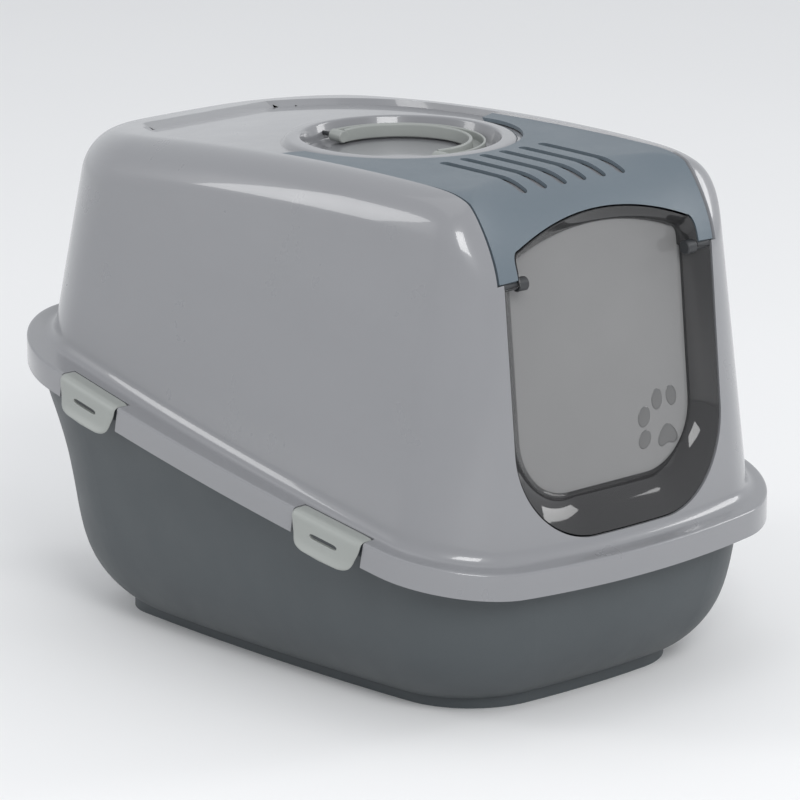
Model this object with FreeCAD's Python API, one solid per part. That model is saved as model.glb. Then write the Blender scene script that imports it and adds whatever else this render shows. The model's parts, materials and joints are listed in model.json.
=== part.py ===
# Hooded cat litter box: a deep tray with a sloping rim, a hood that clips onto
# it, a swinging see-through door, a lift-off vent cover over a carbon filter and
# a carry handle that folds into a round cup.  Millimetres.
# +Z is up, -Y is the front, the origin is on the floor under the middle.
import FreeCAD, Part
import math
import os

V = FreeCAD.Vector
X_AXIS = V(1, 0, 0)
Y_AXIS = V(0, 1, 0)
Z_AXIS = V(0, 0, 1)

# ---- driving dimensions -------------------------------------------------
LENGTH = 660.0            # over the hood's flange, front to back
WIDTH = 470.0             # over the hood's flange, side to side
HEIGHT = 462.5            # floor to the highest line of the hood
WALL = 2.8                # moulded wall
GAP = 0.6                 # clearance between neighbouring mouldings

# the parting plane between tray and hood slopes down towards the door
RIM_MID = 182.4           # height of the flange's lower edge at the middle
RIM_SLOPE = 0.189         # rise per mm towards the back
RIM_FRONT_CORNER = 116.0  # the flange's corners in plan
RIM_BACK_CORNER = 143.0
LIP = 23.5                # height of the flange's upright lip

# hood
SIDE_LOW = 217.5          # half width at HOOD_LOW
SIDE_LEAN = 0.148         # side wall, inward per mm of height
HOOD_LOW = 150.0
FRONT_LOW = 311.0         # front wall at HOOD_LOW, on the centre line
FRONT_LEAN = 0.098
BACK_LOW = 314.0
BACK_LEAN = 0.0
FRONT_BOW = 850.0         # radius of the bowed front and back in plan
SIDE_BOW = 2800.0
TOP_RADIUS = 3160.0       # gentle arch of the roof, front to back
TOP_CROWN_Y = -110.0      # where that arch is highest
FRONT_ROUND = 80.0        # roof to front
SHOULDER = 33.0           # roof to sides and back
FRONT_CORNER_LOW = 62.0   # upright corners at HOOD_LOW and at the roof
FRONT_CORNER_HIGH = 30.0
BACK_CORNER_LOW = 60.0
BACK_CORNER_HIGH = 128.0

# the inset band that runs over the roof and down the front
BAND_HALF = 132.0
BAND_BACK = 266.0
BAND_CORNER = 100.0       # the band's rounded end behind the handle
BAND_BOW = 300.0
BAND_DEPTH = 5.5

# doorway and door
DOOR_HALF = 127.5
DOOR_BOTTOM = 157.5
DOOR_CORNER = 84.0
LEG_BOTTOM = 389.0        # lower ends of the vent cover's legs
LEG_INNER = 111.0
ARCH_SHOULDER = 413.0
ARCH_TOP = 433.0
HINGE_Y = -273.0
HINGE_Z = 384.0
PANEL_HALF = 106.0        # flat ribbed panel of the door
PANEL_BOTTOM = 191.0
EDGE_DEPTH = 10.0         # how far the bowed front falls back at the door's edges
DISH_DEPTH = 30.0         # panel behind the front's middle
DOOR_WALL = 2.4
DOOR_GAP = 2.6              # between the door's top edge and the cover's arch

# handle cup and handle
CUP_Y = -15.6
RING_OUT = 107.5
RING_IN = 90.5
RING_TOP = 459.7
CUP_FLOOR = 443.5
CUP_FLOOR_RADIUS = 86.0
HANDLE_OUT = 76.5
HANDLE_IN = 61.0
HANDLE_WALL = 2.5
HANDLE_LOW = 445.4
HANDLE_TOP = 457.6
HANDLE_HINGE_X = -14.0
HANDLE_HINGE_Z = 451.0

# vent cover and filter
COVER_OUT = 1.5           # how far the cover lies below the hood's outer skin
COVER_IN = 4.3
COVER_BACK = -17.0
SLOT_COUNT = 6
SLOT_PITCH = 24.0
SLOT_WIDTH = 6.0
SLOT_FRONT = -235.0
SLOT_BACK = -131.0
FILTER_X = 72.0
FILTER_FRONT = -200.0
FILTER_BACK = -130.0
FILTER_LOW = 443.0
FILTER_HIGH = 453.0

# clips
CLIP_YS = {"rear": 152.0, "front": -164.0}
CLIP_LENGTH = 80.0
CLIP_PIN_IN = -10.0       # hinge line, measured outwards from the lip's face
CLIP_PIN_UP = 21.2        # hinge line, measured up from the lip's lower edge
CLIP_BARREL = 2.3
CLIP_PIN = 1.2
NOTCH_LENGTH = 84.0

# tray
TRAY_OUT = 18.5           # tray wall at its rim, inside the lip's face
TRAY_RIM_TOP = 18.8       # top of the tray's rim above the lip's lower edge
FOOT_HEIGHT = 9.0


# ---- plan outlines ------------------------------------------------------
def tangent_corner(end_centre, end_radius, side_centre, side_radius, radius, sign):
    """Centre of a corner arc that runs smoothly into an end arc and a side arc.

    It lies end_radius - radius from one centre and side_radius - radius from
    the other: the crossing of two circles."""
    r1 = end_radius - radius
    r2 = side_radius - radius
    line = side_centre - end_centre
    dist = line.Length
    along = (r1 * r1 - r2 * r2 + dist * dist) / (2 * dist)
    across = math.sqrt(max(r1 * r1 - along * along, 0.0))
    unit = line * (1 / dist)
    return end_centre + unit * along + V(-unit.y, unit.x, 0) * across * sign


def outline(half, front, back, front_r, back_r, z, end_bow=FRONT_BOW, side_bow=SIDE_BOW):
    """Closed plan outline at height z: eight tangent arcs, alike left and right."""
    mid = (front + back) / 2
    side_c = V(half - side_bow, mid, 0)
    front_c = V(0, front + end_bow, 0)
    back_c = V(0, back - end_bow, 0)
    fc = tangent_corner(front_c, end_bow, side_c, side_bow, front_r, -1)
    if fc.y > mid:
        fc = tangent_corner(front_c, end_bow, side_c, side_bow, front_r, 1)
    bc = tangent_corner(back_c, end_bow, side_c, side_bow, back_r, 1)
    if bc.y < mid:
        bc = tangent_corner(back_c, end_bow, side_c, side_bow, back_r, -1)

    def touch(centre, radius, corner):
        return centre + (corner - centre).normalize() * radius

    def bulge(corner, one, two, radius):
        return corner + ((one + two) * 0.5 - corner).normalize() * radius

    f1, f2 = touch(front_c, end_bow, fc), touch(side_c, side_bow, fc)
    b1, b2 = touch(back_c, end_bow, bc), touch(side_c, side_bow, bc)
    right = [(f1, bulge(fc, f1, f2, front_r), f2), (f2, V(half, mid, 0), b2),
             (b2, bulge(bc, b1, b2, back_r), b1)]

    def flip(p):
        return V(-p.x, p.y, 0)

    left = [(flip(c), flip(b), flip(a)) for a, b, c in reversed(right)]
    arcs = right + [(b1, V(0, back, 0), flip(b1))] + left + [(flip(f1), V(0, front, 0), f1)]
    up = V(0, 0, z)
    return Part.Wire([Part.Arc(a + up, b + up, c + up).toShape() for a, b, c in arcs])


def prism(wire, vector):
    return Part.Face(wire).extrude(vector)


def slab(low, high):
    """Everything between two planes parallel to the sloping rim, low and high
    measured up from the flange's lower edge."""
    reach = 500.0
    z1 = RIM_MID - RIM_SLOPE * reach
    z2 = RIM_MID + RIM_SLOPE * reach
    corners = [V(-reach, -reach, z1 + low), V(-reach, reach, z2 + low),
               V(-reach, reach, z2 + high), V(-reach, -reach, z1 + high)]
    return prism(Part.makePolygon(corners + corners[:1]), V(2 * reach, 0, 0))


def box(x1, x2, y1, y2, z1, z2):
    return Part.makeBox(x2 - x1, y2 - y1, z2 - z1, V(x1, y1, z1))


def cylinder(radius, start, axis, length):
    return Part.makeCylinder(radius, length, start, axis)


def soften(shape, radius, chosen):
    """Round the chosen edges, or leave them as they are where that fails."""
    edges = [e for e in shape.Edges if chosen(e)]
    if not edges:
        return shape
    try:
        rounded = shape.makeFillet(radius, edges)
    except Part.OCCError:
        return shape
    return rounded if rounded.isValid() and rounded.Volume > 0 else shape


# ---- the hood's outer form ----------------------------------------------
def hood_section(z, side_in, front_in, back_in):
    """The hood's plan outline at height z, moved inwards by the given amounts.
    Its front corners get tighter towards the roof and its back corners rounder."""
    rise = z - HOOD_LOW
    share = rise / (HEIGHT - HOOD_LOW)
    half = SIDE_LOW - SIDE_LEAN * rise - side_in
    front = -FRONT_LOW + FRONT_LEAN * rise + front_in
    back = BACK_LOW - BACK_LEAN * rise - back_in
    front_r = FRONT_CORNER_LOW + (FRONT_CORNER_HIGH - FRONT_CORNER_LOW) * share
    back_r = BACK_CORNER_LOW + (BACK_CORNER_HIGH - BACK_CORNER_LOW) * share
    return outline(half, front, back, max(front_r - side_in, 6.0),
                   max(back_r - side_in, 6.0), z)


def roof_profile(inset):
    """Side view of the roof as a solid: front rounding and arched roof, moved
    inwards by inset. It runs out behind the back wall."""
    top = HEIGHT - inset
    roof_r = TOP_RADIUS - inset
    crown = V(0, TOP_CROWN_Y, top - roof_r)
    front_r = FRONT_ROUND - inset
    front_cy, back_y = -206.0, 400.0
    reach = roof_r - front_r
    fc = V(0, front_cy, crown.z + math.sqrt(reach ** 2 - (front_cy - crown.y) ** 2))
    f_top = crown + (fc - crown).normalize() * roof_r
    f_side = fc + V(0, -front_r, 0)
    b_top = V(0, back_y, crown.z + math.sqrt(roof_r ** 2 - (back_y - crown.y) ** 2))
    f_mid = fc + ((f_side + f_top) * 0.5 - fc).normalize() * front_r
    spread = 60.0             # the profile's own walls stand clear of the hood's
    base = 40.0
    foot = [b_top, V(0, back_y, base), V(0, f_side.y - spread, base), f_side]
    edges = [Part.Arc(f_side, f_mid, f_top).toShape(),
             Part.Arc(f_top, V(0, crown.y, top), b_top).toShape()]
    edges += [Part.makeLine(a, b) for a, b in zip(foot, foot[1:])]
    wire = Part.Wire(edges)
    wire.translate(V(-300, 0, 0))
    return prism(wire, V(600, 0, 0))


def hood_form(side_in, front_in, back_in, roof_in, rounding=0.0):
    """The hood as a solid block, moved inwards by the given amounts."""
    heights = (90.0, 180.0, 270.0, 360.0, 480.0)
    sections = [hood_section(z, side_in, front_in, back_in) for z in heights]
    block = Part.makeLoft(sections, True, False)
    block = block.common(roof_profile(roof_in))
    if rounding:
        block = soften(block, rounding, is_roof_edge)
    return block


def is_roof_edge(edge):
    """Edges where the roof meets the side walls and the back wall."""
    b = edge.BoundBox
    return b.ZMin > 330 and (abs(b.Center.x) > 100 or b.Center.y > 150) and edge.Length > 20


# ---- shared outlines of the front ---------------------------------------
def arch_wire(half, arch_half, shoulder, top, low, corner, y):
    """Front view of the door's head: upright sides, a rounded step and an arch."""
    radius = (arch_half ** 2 + (top - shoulder) ** 2) / (2 * (top - shoulder))
    centre = V(0, y, top - radius)
    lean = math.asin(arch_half / radius) / 2
    arch_mid = centre + V(math.sin(lean), 0, math.cos(lean)) * radius
    shoulder_p = V(arch_half, y, shoulder)
    step = V(half, y, shoulder - corner)
    step_mid = V(half - corner * 0.22, y, shoulder - corner * 0.36)

    def flip(p):
        return V(-p.x, p.y, p.z)

    foot = V(half, y, low)
    edges = [Part.makeLine(foot, step), Part.Arc(step, step_mid, shoulder_p).toShape(),
             Part.Arc(shoulder_p, arch_mid, V(0, y, top)).toShape(),
             Part.Arc(V(0, y, top), flip(arch_mid), flip(shoulder_p)).toShape(),
             Part.Arc(flip(shoulder_p), flip(step_mid), flip(step)).toShape(),
             Part.makeLine(flip(step), flip(foot)), Part.makeLine(flip(foot), foot)]
    return Part.Wire(edges)


def arch_prism(grow):
    """The space between the cover's legs, grown outwards by grow."""
    wire = arch_wire(LEG_INNER + grow, 103.0 + grow, ARCH_SHOULDER + grow,
                     ARCH_TOP + grow, 330.0, 13.0, -400)
    return prism(wire, V(0, 230, 0))


def rounded_front(half, low, high, corner, top_corner, y):
    """Front view rectangle at depth y, its lower corners rounded by corner."""
    c, t = corner, top_corner
    k = 1 - math.sqrt(0.5)
    pts = [V(-half + c, y, low), V(half - c, y, low), V(half, y, low + c),
           V(half, y, high - t), V(half - t, y, high), V(-half + t, y, high),
           V(-half, y, high - t), V(-half, y, low + c)]
    mids = {1: V(half - k * c, y, low + k * c), 3: V(half - k * t, y, high - k * t),
            5: V(-half + k * t, y, high - k * t), 7: V(-half + k * c, y, low + k * c)}
    edges = []
    for i, start in enumerate(pts):
        end = pts[(i + 1) % len(pts)]
        if i in mids:
            edges.append(Part.Arc(start, mids[i], end).toShape())
        else:
            edges.append(Part.makeLine(start, end))
    return Part.Wire(edges)


def front_y(z, inset=0.0):
    """Depth of the hood's front at height z on the centre line."""
    return -FRONT_LOW + FRONT_LEAN * (z - HOOD_LOW) + inset


def door_outline(grow):
    """Prism of the doorway in front view: the wide opening and the arched head."""
    wide = rounded_front(DOOR_HALF + grow, DOOR_BOTTOM - grow, LEG_BOTTOM - 0.5,
                         DOOR_CORNER, 2.0, -400)
    return prism(wide, V(0, 200, 0)).fuse(arch_prism(grow))


# ---- tray ---------------------------------------------------------------
def rim_outline(inset, z):
    """Outline of the hood's flange, moved inwards by inset."""
    return outline(WIDTH / 2 - inset, -LENGTH / 2 + inset, LENGTH / 2 - inset,
                   RIM_FRONT_CORNER - inset, RIM_BACK_CORNER - inset, z, 900.0, 2600.0)


def tray_form(inset, floor):
    """Outside of the tray as a solid, moved inwards by inset, from height floor:
    a flat bottom, a large rounded lower edge and leaning walls."""
    half = WIDTH / 2 - TRAY_OUT
    reach = LENGTH / 2 - TRAY_OUT
    front_rim = RIM_MID - RIM_SLOPE * reach
    back_rim = RIM_MID + RIM_SLOPE * reach
    lean = 0.15
    knee = 78.0
    sections = []
    for z in (floor, 18.0, 32.0, 52.0, knee, 170.0, 270.0):
        if z < floor:
            continue
        # below the knee the wall follows a quarter ellipse towards the bottom
        down = max(0.0, (knee - z) / (knee - FOOT_HEIGHT + 2.0))
        turn = 50.0 * (1 - math.sqrt(max(0.0, 1 - down * down)))
        side = half - lean * (RIM_MID - z) - turn - inset
        front = -reach + lean * (front_rim - z) + turn * 1.05 + inset
        back = reach - lean * (back_rim - z) - turn * 1.25 - inset
        front_r = max(98.0 - turn * 0.6 - inset, 20.0)
        back_r = max(127.0 - turn * 0.6 - inset, 20.0)
        sections.append(outline(side, front, back, front_r, back_r, z, 900.0, 2600.0))
    return Part.makeLoft(sections, True, False)


def base_pan():
    outer = tray_form(0.0, FOOT_HEIGHT)
    inner = tray_form(WALL, FOOT_HEIGHT + WALL)
    pan = outer.cut(inner).common(slab(-400, TRAY_RIM_TOP))
    plate = prism(rim_outline(3.6, 60), V(0, 0, 300)).cut(
        prism(rim_outline(TRAY_OUT + 1.4, 60), V(0, 0, 300)))
    skirt = prism(rim_outline(3.6, 60), V(0, 0, 300)).cut(
        prism(rim_outline(6.2, 60), V(0, 0, 300)))
    pan = pan.fuse([plate.common(slab(TRAY_RIM_TOP - 2.8, TRAY_RIM_TOP)),
                    skirt.common(slab(8.0, TRAY_RIM_TOP - 1.0))])
    foot = prism(outline(151.0, -257.0, 228.0, 78.0, 50.0, 0, 900.0, 2600.0),
                 V(0, 0, FOOT_HEIGHT + 1.5))
    hollow = prism(outline(147.5, -253.5, 224.5, 74.5, 46.5, -1, 900.0, 2600.0),
                   V(0, 0, FOOT_HEIGHT + 1.2))
    return pan.fuse(foot.cut(hollow)).removeSplitter()


# ---- clips --------------------------------------------------------------
def clip_place(side, y):
    """Placement that takes clip drawings, x outwards from the lip's face and
    z up from the lip's lower edge, to a clip's place on the flange."""
    # the outline bows in a little away from the middle of the side
    bow = WIDTH / 2 - 2600.0 + math.sqrt(2600.0 ** 2 - y ** 2)
    turn = math.degrees(math.asin(y / 2600.0))
    pitch = math.degrees(math.atan(RIM_SLOPE))
    place = FreeCAD.Placement(V(side * bow, y, RIM_MID + RIM_SLOPE * y),
                              FreeCAD.Rotation(Z_AXIS, side * turn))
    if side < 0:
        tilt = FreeCAD.Rotation(X_AXIS, pitch)
        return place.multiply(FreeCAD.Placement(V(0, 0, 0), tilt)).multiply(
            FreeCAD.Placement(V(0, 0, 0), FreeCAD.Rotation(Z_AXIS, 180)))
    return place.multiply(FreeCAD.Placement(V(0, 0, 0), FreeCAD.Rotation(X_AXIS, pitch)))


def clip_axis(side, y):
    """A point on the clip's hinge line and the line's direction."""
    place = clip_place(side, y)
    point = place.multVec(V(CLIP_PIN_IN, 0, CLIP_PIN_UP))
    return point, place.Rotation.multVec(Y_AXIS)


def clip_shape():
    """A clip lying in its notch: barrel, top arm, plate, inner bead, flared lip."""
    half = CLIP_LENGTH / 2
    top = LIP + 0.4
    pts = [V(CLIP_PIN_IN, -half, top), V(-1.5, -half, top), V(2.6, -half, LIP - 2.4),
           V(3.0, -half, 2.0), V(7.6, -half, -9.0), V(5.4, -half, -9.8),
           V(0.4, -half, 1.0), V(0.1, -half, LIP - 4.0), V(-2.6, -half, top - 2.5),
           V(CLIP_PIN_IN, -half, top - 2.5)]
    body = prism(Part.makePolygon(pts + pts[:1]), V(0, CLIP_LENGTH, 0))
    # in front view the plate narrows downwards to rounded lower corners
    low, narrow, corner = -12.0, 7.0, 11.0
    side_pts = [V(-20, -half, LIP + 5), V(-20, half, LIP + 5), V(-20, half, LIP - 4),
                V(-20, half - narrow, low + corner), V(-20, half - narrow - 3.5, low + 3.2),
                V(-20, half - narrow - corner, low + 1.6),
                V(-20, -half + narrow + corner, low + 1.6),
                V(-20, -half + narrow + 3.5, low + 3.2),
                V(-20, -half + narrow, low + corner), V(-20, -half, LIP - 4)]
    body = body.common(prism(Part.makePolygon(side_pts + side_pts[:1]), V(40, 0, 0)))
    barrel = cylinder(CLIP_BARREL, V(CLIP_PIN_IN, -half, CLIP_PIN_UP), Y_AXIS, CLIP_LENGTH)
    bead = cylinder(1.6, V(-0.3, -half + 12, 5.4), Y_AXIS, CLIP_LENGTH - 24)
    body = body.fuse([barrel, bead])
    bore = cylinder(CLIP_PIN + 0.1, V(CLIP_PIN_IN, -half - 1, CLIP_PIN_UP), Y_AXIS,
                    CLIP_LENGTH + 2)
    slot_half, slot_r, slot_up = 17.0, 2.1, 8.0
    slot = box(-6, 12, -slot_half + slot_r, slot_half - slot_r, slot_up - slot_r,
               slot_up + slot_r)
    ends = [cylinder(slot_r, V(-6, s * (slot_half - slot_r), slot_up), X_AXIS, 18)
            for s in (-1, 1)]
    return body.cut(bore).cut(slot.fuse(ends)).removeSplitter()


def notch_tool():
    """What the flange loses where a clip sits."""
    half = NOTCH_LENGTH / 2
    return box(CLIP_PIN_IN - 4.6, 20, -half, half, -5, 50)


def clip_pin_shape():
    return cylinder(CLIP_PIN, V(CLIP_PIN_IN, -CLIP_LENGTH / 2 - 6, CLIP_PIN_UP), Y_AXIS,
                    CLIP_LENGTH + 12)


def pin_seat_tool():
    return cylinder(CLIP_PIN + 0.05, V(CLIP_PIN_IN, -CLIP_LENGTH / 2 - 7, CLIP_PIN_UP),
                    Y_AXIS, CLIP_LENGTH + 14)


def clip_sites():
    for name, y in CLIP_YS.items():
        for side_name, side in (("left", -1), ("right", 1)):
            yield "clip_%s_%s" % (name, side_name), side, y


def placed(shape, place):
    copy = shape.copy()
    copy.Placement = place
    return copy


# ---- hood ---------------------------------------------------------------
def ring_about_cup(radius, low, high):
    return cylinder(radius, V(0, CUP_Y, low), Z_AXIS, high - low)


def cup_solid():
    """Raised ring, drafted wall and floor of the handle cup, turned about its axis."""
    pts = [V(0, 0, CUP_FLOOR), V(CUP_FLOOR_RADIUS, 0, CUP_FLOOR), V(RING_IN, 0, RING_TOP - 1.2),
           V(RING_IN + 1.6, 0, RING_TOP), V(RING_OUT - 7.0, 0, RING_TOP - 0.6),
           V(RING_OUT, 0, RING_TOP - 5.2), V(RING_OUT, 0, 449.0), V(RING_IN + 3.4, 0, 449.0),
           V(CUP_FLOOR_RADIUS + 3.0, 0, CUP_FLOOR - WALL), V(0, 0, CUP_FLOOR - WALL)]
    face = Part.Face(Part.makePolygon(pts + pts[:1]))
    cup = face.revolve(V(0, 0, 0), Z_AXIS, 360)
    cup.translate(V(0, CUP_Y, 0))
    return cup


def band_prism(inset, low):
    """Upright prism of the inset band's plan, moved inwards by inset."""
    plan = outline(BAND_HALF - inset, -420, BAND_BACK - inset, 40, BAND_CORNER - inset, low,
                   BAND_BOW, 9000.0)
    return prism(plan, V(0, 0, 120))


def handle_ends():
    """The two places of the handle's hinge, rear first: sign and depth."""
    reach = math.sqrt(68.5 ** 2 - HANDLE_HINGE_X ** 2)
    return (("rear", 1, CUP_Y + reach), ("front", -1, CUP_Y - reach))


def handle_pin(sign, y, radius, extra=0.0):
    start = V(HANDLE_HINGE_X, y - sign * 6.0, HANDLE_HINGE_Z)
    return cylinder(radius, start, V(0, sign, 0), 29.0 + extra)


def hood_shell():
    outer = hood_form(0, 0, 0, 0, SHOULDER)
    inner = hood_form(WALL, WALL + BAND_DEPTH, WALL, WALL + BAND_DEPTH, SHOULDER - WALL)
    # the inset band over the roof and down to the ends of the cover's legs
    band = band_prism(0.0, LEG_BOTTOM - 1.0).cut(
        hood_form(BAND_DEPTH, BAND_DEPTH, BAND_DEPTH, BAND_DEPTH))
    shell = outer.cut(inner).cut(band)
    shell = shell.common(slab(LIP - 3.0, 700))
    # flange: a plate round the foot of the walls and an upright lip
    rim = prism(rim_outline(0, 60), V(0, 0, 300))
    plate = rim.cut(prism(rim_outline(26.0, 60), V(0, 0, 300))).common(slab(LIP - WALL, LIP))
    lip = rim.cut(prism(rim_outline(3.0, 60), V(0, 0, 300))).common(slab(0, LIP))
    rest = prism(rim_outline(13.0, 60), V(0, 0, 300)).cut(
        prism(rim_outline(15.0, 60), V(0, 0, 300))).common(slab(TRAY_RIM_TOP + 0.3, LIP - 1))
    shell = shell.fuse([plate, lip, rest])
    shell = shell.cut(inner.common(slab(LIP - 6.0, 700)))
    for _, side, y in clip_sites():
        place = clip_place(side, y)
        seats = [box(CLIP_PIN_IN - 3.4, CLIP_PIN_IN + 3.0, a, b, LIP - 4.6, LIP - 0.5)
                 for a, b in ((-NOTCH_LENGTH / 2 - 7, -NOTCH_LENGTH / 2),
                              (NOTCH_LENGTH / 2, NOTCH_LENGTH / 2 + 7))]
        shell = shell.fuse([placed(s, place) for s in seats])
        shell = shell.cut([placed(notch_tool(), place), placed(pin_seat_tool(), place)])
    # doorway, with room for the head of the door to turn
    shell = shell.cut(door_outline(0.0))
    sweep = cylinder(55.0, V(-LEG_INNER - 2.0, HINGE_Y, HINGE_Z), X_AXIS,
                     2 * (LEG_INNER + 2.0))
    shell = shell.cut(sweep)
    # bearings for the door's pins
    for sign in (-1, 1):
        start, end = sign * (DOOR_HALF + 0.2), sign * 139.0
        block = box(min(start, end), max(start, end), HINGE_Y - 4.0, HINGE_Y + 8.0,
                    HINGE_Z - 8.0, HINGE_Z + 4.5)
        shell = shell.fuse(block.common(hood_form(BAND_DEPTH, BAND_DEPTH, 0, BAND_DEPTH)))
        shell = shell.cut(cylinder(2.5 + 0.1, V(sign * 100, HINGE_Y, HINGE_Z),
                                   V(sign, 0, 0), 37.2))
    # filter well
    shell = shell.cut(box(-FILTER_X - 4.5, FILTER_X + 4.5, FILTER_FRONT - 4.5,
                          FILTER_BACK + 4.5, 400, 480))
    # handle cup
    shell = shell.cut(ring_about_cup(RING_OUT - 6.0, 430, 480)).fuse(cup_solid())
    for _, sign, y in handle_ends():
        boss_y = CUP_Y + sign * 86.0
        boss = cylinder(5.2, V(HANDLE_HINGE_X, boss_y, HANDLE_HINGE_Z - 1.2), V(0, sign, 0), 8.0)
        inside = ring_about_cup(CUP_FLOOR_RADIUS + 2.2, 430, 470)
        shell = shell.fuse(boss.cut(inside))
        shell = shell.cut(handle_pin(sign, y, 2.0 + 0.05, 0.2))
    return shell.removeSplitter()


# ---- vent cover and filter ----------------------------------------------
def slot_xs():
    return [(i - (SLOT_COUNT - 1) / 2) * SLOT_PITCH for i in range(SLOT_COUNT)]


def filter_cover():
    outer = hood_form(COVER_OUT, COVER_OUT, COVER_OUT, COVER_OUT)
    inner = hood_form(COVER_IN, COVER_IN, COVER_IN, COVER_IN)
    half, horn = BAND_HALF + 5.0, 8.0
    pts = [V(-half, COVER_BACK - horn, LEG_BOTTOM), V(-half, -420, LEG_BOTTOM),
           V(half, -420, LEG_BOTTOM), V(half, COVER_BACK - horn, LEG_BOTTOM),
           V(RING_OUT - 4, COVER_BACK, LEG_BOTTOM), V(-RING_OUT + 4, COVER_BACK, LEG_BOTTOM)]
    plan = prism(Part.makePolygon(pts + pts[:1]), V(0, 0, 120))
    plan = plan.common(band_prism(GAP, LEG_BOTTOM))
    cover = outer.cut(inner).common(plan)
    cover = cover.cut(ring_about_cup(RING_OUT + 2.6, 380, 500)).cut(arch_prism(0))
    slots = []
    for x in slot_xs():
        r = SLOT_WIDTH / 2
        slots.append(box(x - r, x + r, SLOT_FRONT + r, SLOT_BACK - r, 420, 480))
        slots += [cylinder(r, V(x, y, 420), Z_AXIS, 60)
                  for y in (SLOT_FRONT + r, SLOT_BACK - r)]
    return cover.cut(slots).removeSplitter()


def filter_frame():
    """Tray under the cover that holds the carbon pad: four walls and a grid."""
    wall, floor = 2.0, 2.2
    out_x, front, back = FILTER_X + wall + 0.4, FILTER_FRONT - wall - 0.4, FILTER_BACK + wall + 0.4
    low = FILTER_LOW - floor - 0.2
    frame = box(-out_x, out_x, front, back, low, 456.2)
    frame = frame.cut(box(-out_x + wall, out_x - wall, front + wall, back - wall,
                          low + floor, 470))
    columns, rows, bar = 8, 4, 3.0
    cell_x = (2 * (out_x - wall) - bar) / columns
    cell_y = (back - front - 2 * wall - bar) / rows
    holes = [box(-out_x + wall + bar + i * cell_x, -out_x + wall + (i + 1) * cell_x,
                 front + wall + bar + j * cell_y, front + wall + (j + 1) * cell_y,
                 low - 1, low + floor + 1)
             for i in range(columns) for j in range(rows)]
    return frame.cut(holes)


def carbon_filter():
    pad = box(-FILTER_X, FILTER_X, FILTER_FRONT, FILTER_BACK, FILTER_LOW, FILTER_HIGH)
    return soften(pad, 2.0, lambda e: abs(e.BoundBox.ZLength) > 5)


# ---- door ---------------------------------------------------------------
def dish(outer_grow, panel_grow, near, far):
    """A dish seen from the front, from depth near to depth far behind the hood's
    front skin: the doorway's outline shrinks to the panel's outline."""
    sections = []
    for depth in (near, EDGE_DEPTH, EDGE_DEPTH + 3.0, EDGE_DEPTH + 7.0, EDGE_DEPTH + 13.0, far):
        share = min(1.0, max(0.0, depth - EDGE_DEPTH) / (DISH_DEPTH - EDGE_DEPTH))
        # the wall starts steeply behind the edge and flattens towards the panel
        share = 1 - (1 - share) ** 1.6
        half = DOOR_HALF - 1.4 + outer_grow
        low = DOOR_BOTTOM + 1.4 - outer_grow
        half += (PANEL_HALF + panel_grow - half) * share
        low += (PANEL_BOTTOM - panel_grow - low) * share
        corner = DOOR_CORNER + (62.0 - DOOR_CORNER) * share
        high = ARCH_TOP + 20
        wire = rounded_front(half, low, high, corner, 4.0, 0)
        # the doorway's plane leans back with the hood's front
        lean = math.atan(FRONT_LEAN)
        wire.translate(V(0, 0, -HOOD_LOW))
        wire.rotate(V(0, 0, 0), X_AXIS, -math.degrees(lean))
        wire.translate(V(0, -FRONT_LOW + depth, HOOD_LOW))
        sections.append(wire)
    return Part.makeLoft(sections, True, True)


def turned_head(shrink):
    """Barrel round the hinge line whose radius at each x is the arch's height
    above the hinge: what stays inside it can swing under the arch."""
    wire = arch_wire(LEG_INNER - DOOR_GAP - shrink, 103.0 - DOOR_GAP - shrink,
                     ARCH_SHOULDER - DOOR_GAP - shrink, ARCH_TOP - DOOR_GAP - shrink, HINGE_Z, 13.0, HINGE_Y)
    return Part.Face(wire).revolve(V(0, HINGE_Y, HINGE_Z), X_AXIS, 360)


def door_spaces(shrink):
    """Room for the door inside its opening: the wide part below the hinge, the
    head that turns under the arch and the neck between them."""
    wide = box(-200, 200, -420, -200, 100, HINGE_Z - 8.5 - shrink)
    head = turned_head(shrink).common(box(-200, 200, -420, -200, HINGE_Z - 1.0, 500))
    neck = box(-LEG_INNER + 1.5 + shrink, LEG_INNER - 1.5 - shrink, -420, -200,
               HINGE_Z - 20.0, HINGE_Z)
    return [wide, head, neck]


def door_flap():
    skin = hood_form(COVER_OUT, COVER_OUT, COVER_OUT, COVER_OUT)
    wide, head, neck = door_spaces(0.0)
    flap = dish(0.0, 0.0, -12.0, DISH_DEPTH).common(skin).common(wide.fuse([head, neck]))
    hollow = dish(-DOOR_WALL, -DOOR_WALL, -14.0, DISH_DEPTH - DOOR_WALL)
    for space in door_spaces(DOOR_WALL):
        flap = flap.cut(hollow.common(space))
    for sign in (-1, 1):
        hub = cylinder(6.2, V(sign * 98.0, HINGE_Y, HINGE_Z), V(sign, 0, 0), 11.5)
        flap = flap.fuse(hub)
        flap = flap.cut(cylinder(2.5 + 0.02, V(sign * 90.0, HINGE_Y, HINGE_Z),
                                 V(sign, 0, 0), 30.0))
    return flap.removeSplitter()


def door_pin(sign):
    """Stub axle: a pin with a collar beside the door's hub."""
    pin = cylinder(2.5, V(sign * 99.0, HINGE_Y, HINGE_Z), V(sign, 0, 0), 37.6)
    collar = cylinder(4.2, V(sign * 110.2, HINGE_Y, HINGE_Z), V(sign, 0, 0), 16.0)
    return pin.fuse(collar)


# ---- handle -------------------------------------------------------------
def cup_ring(outer, inner, low, high):
    ring = ring_about_cup(outer, low, high)
    return ring.cut(ring_about_cup(inner, low - 1, high + 1))


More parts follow.
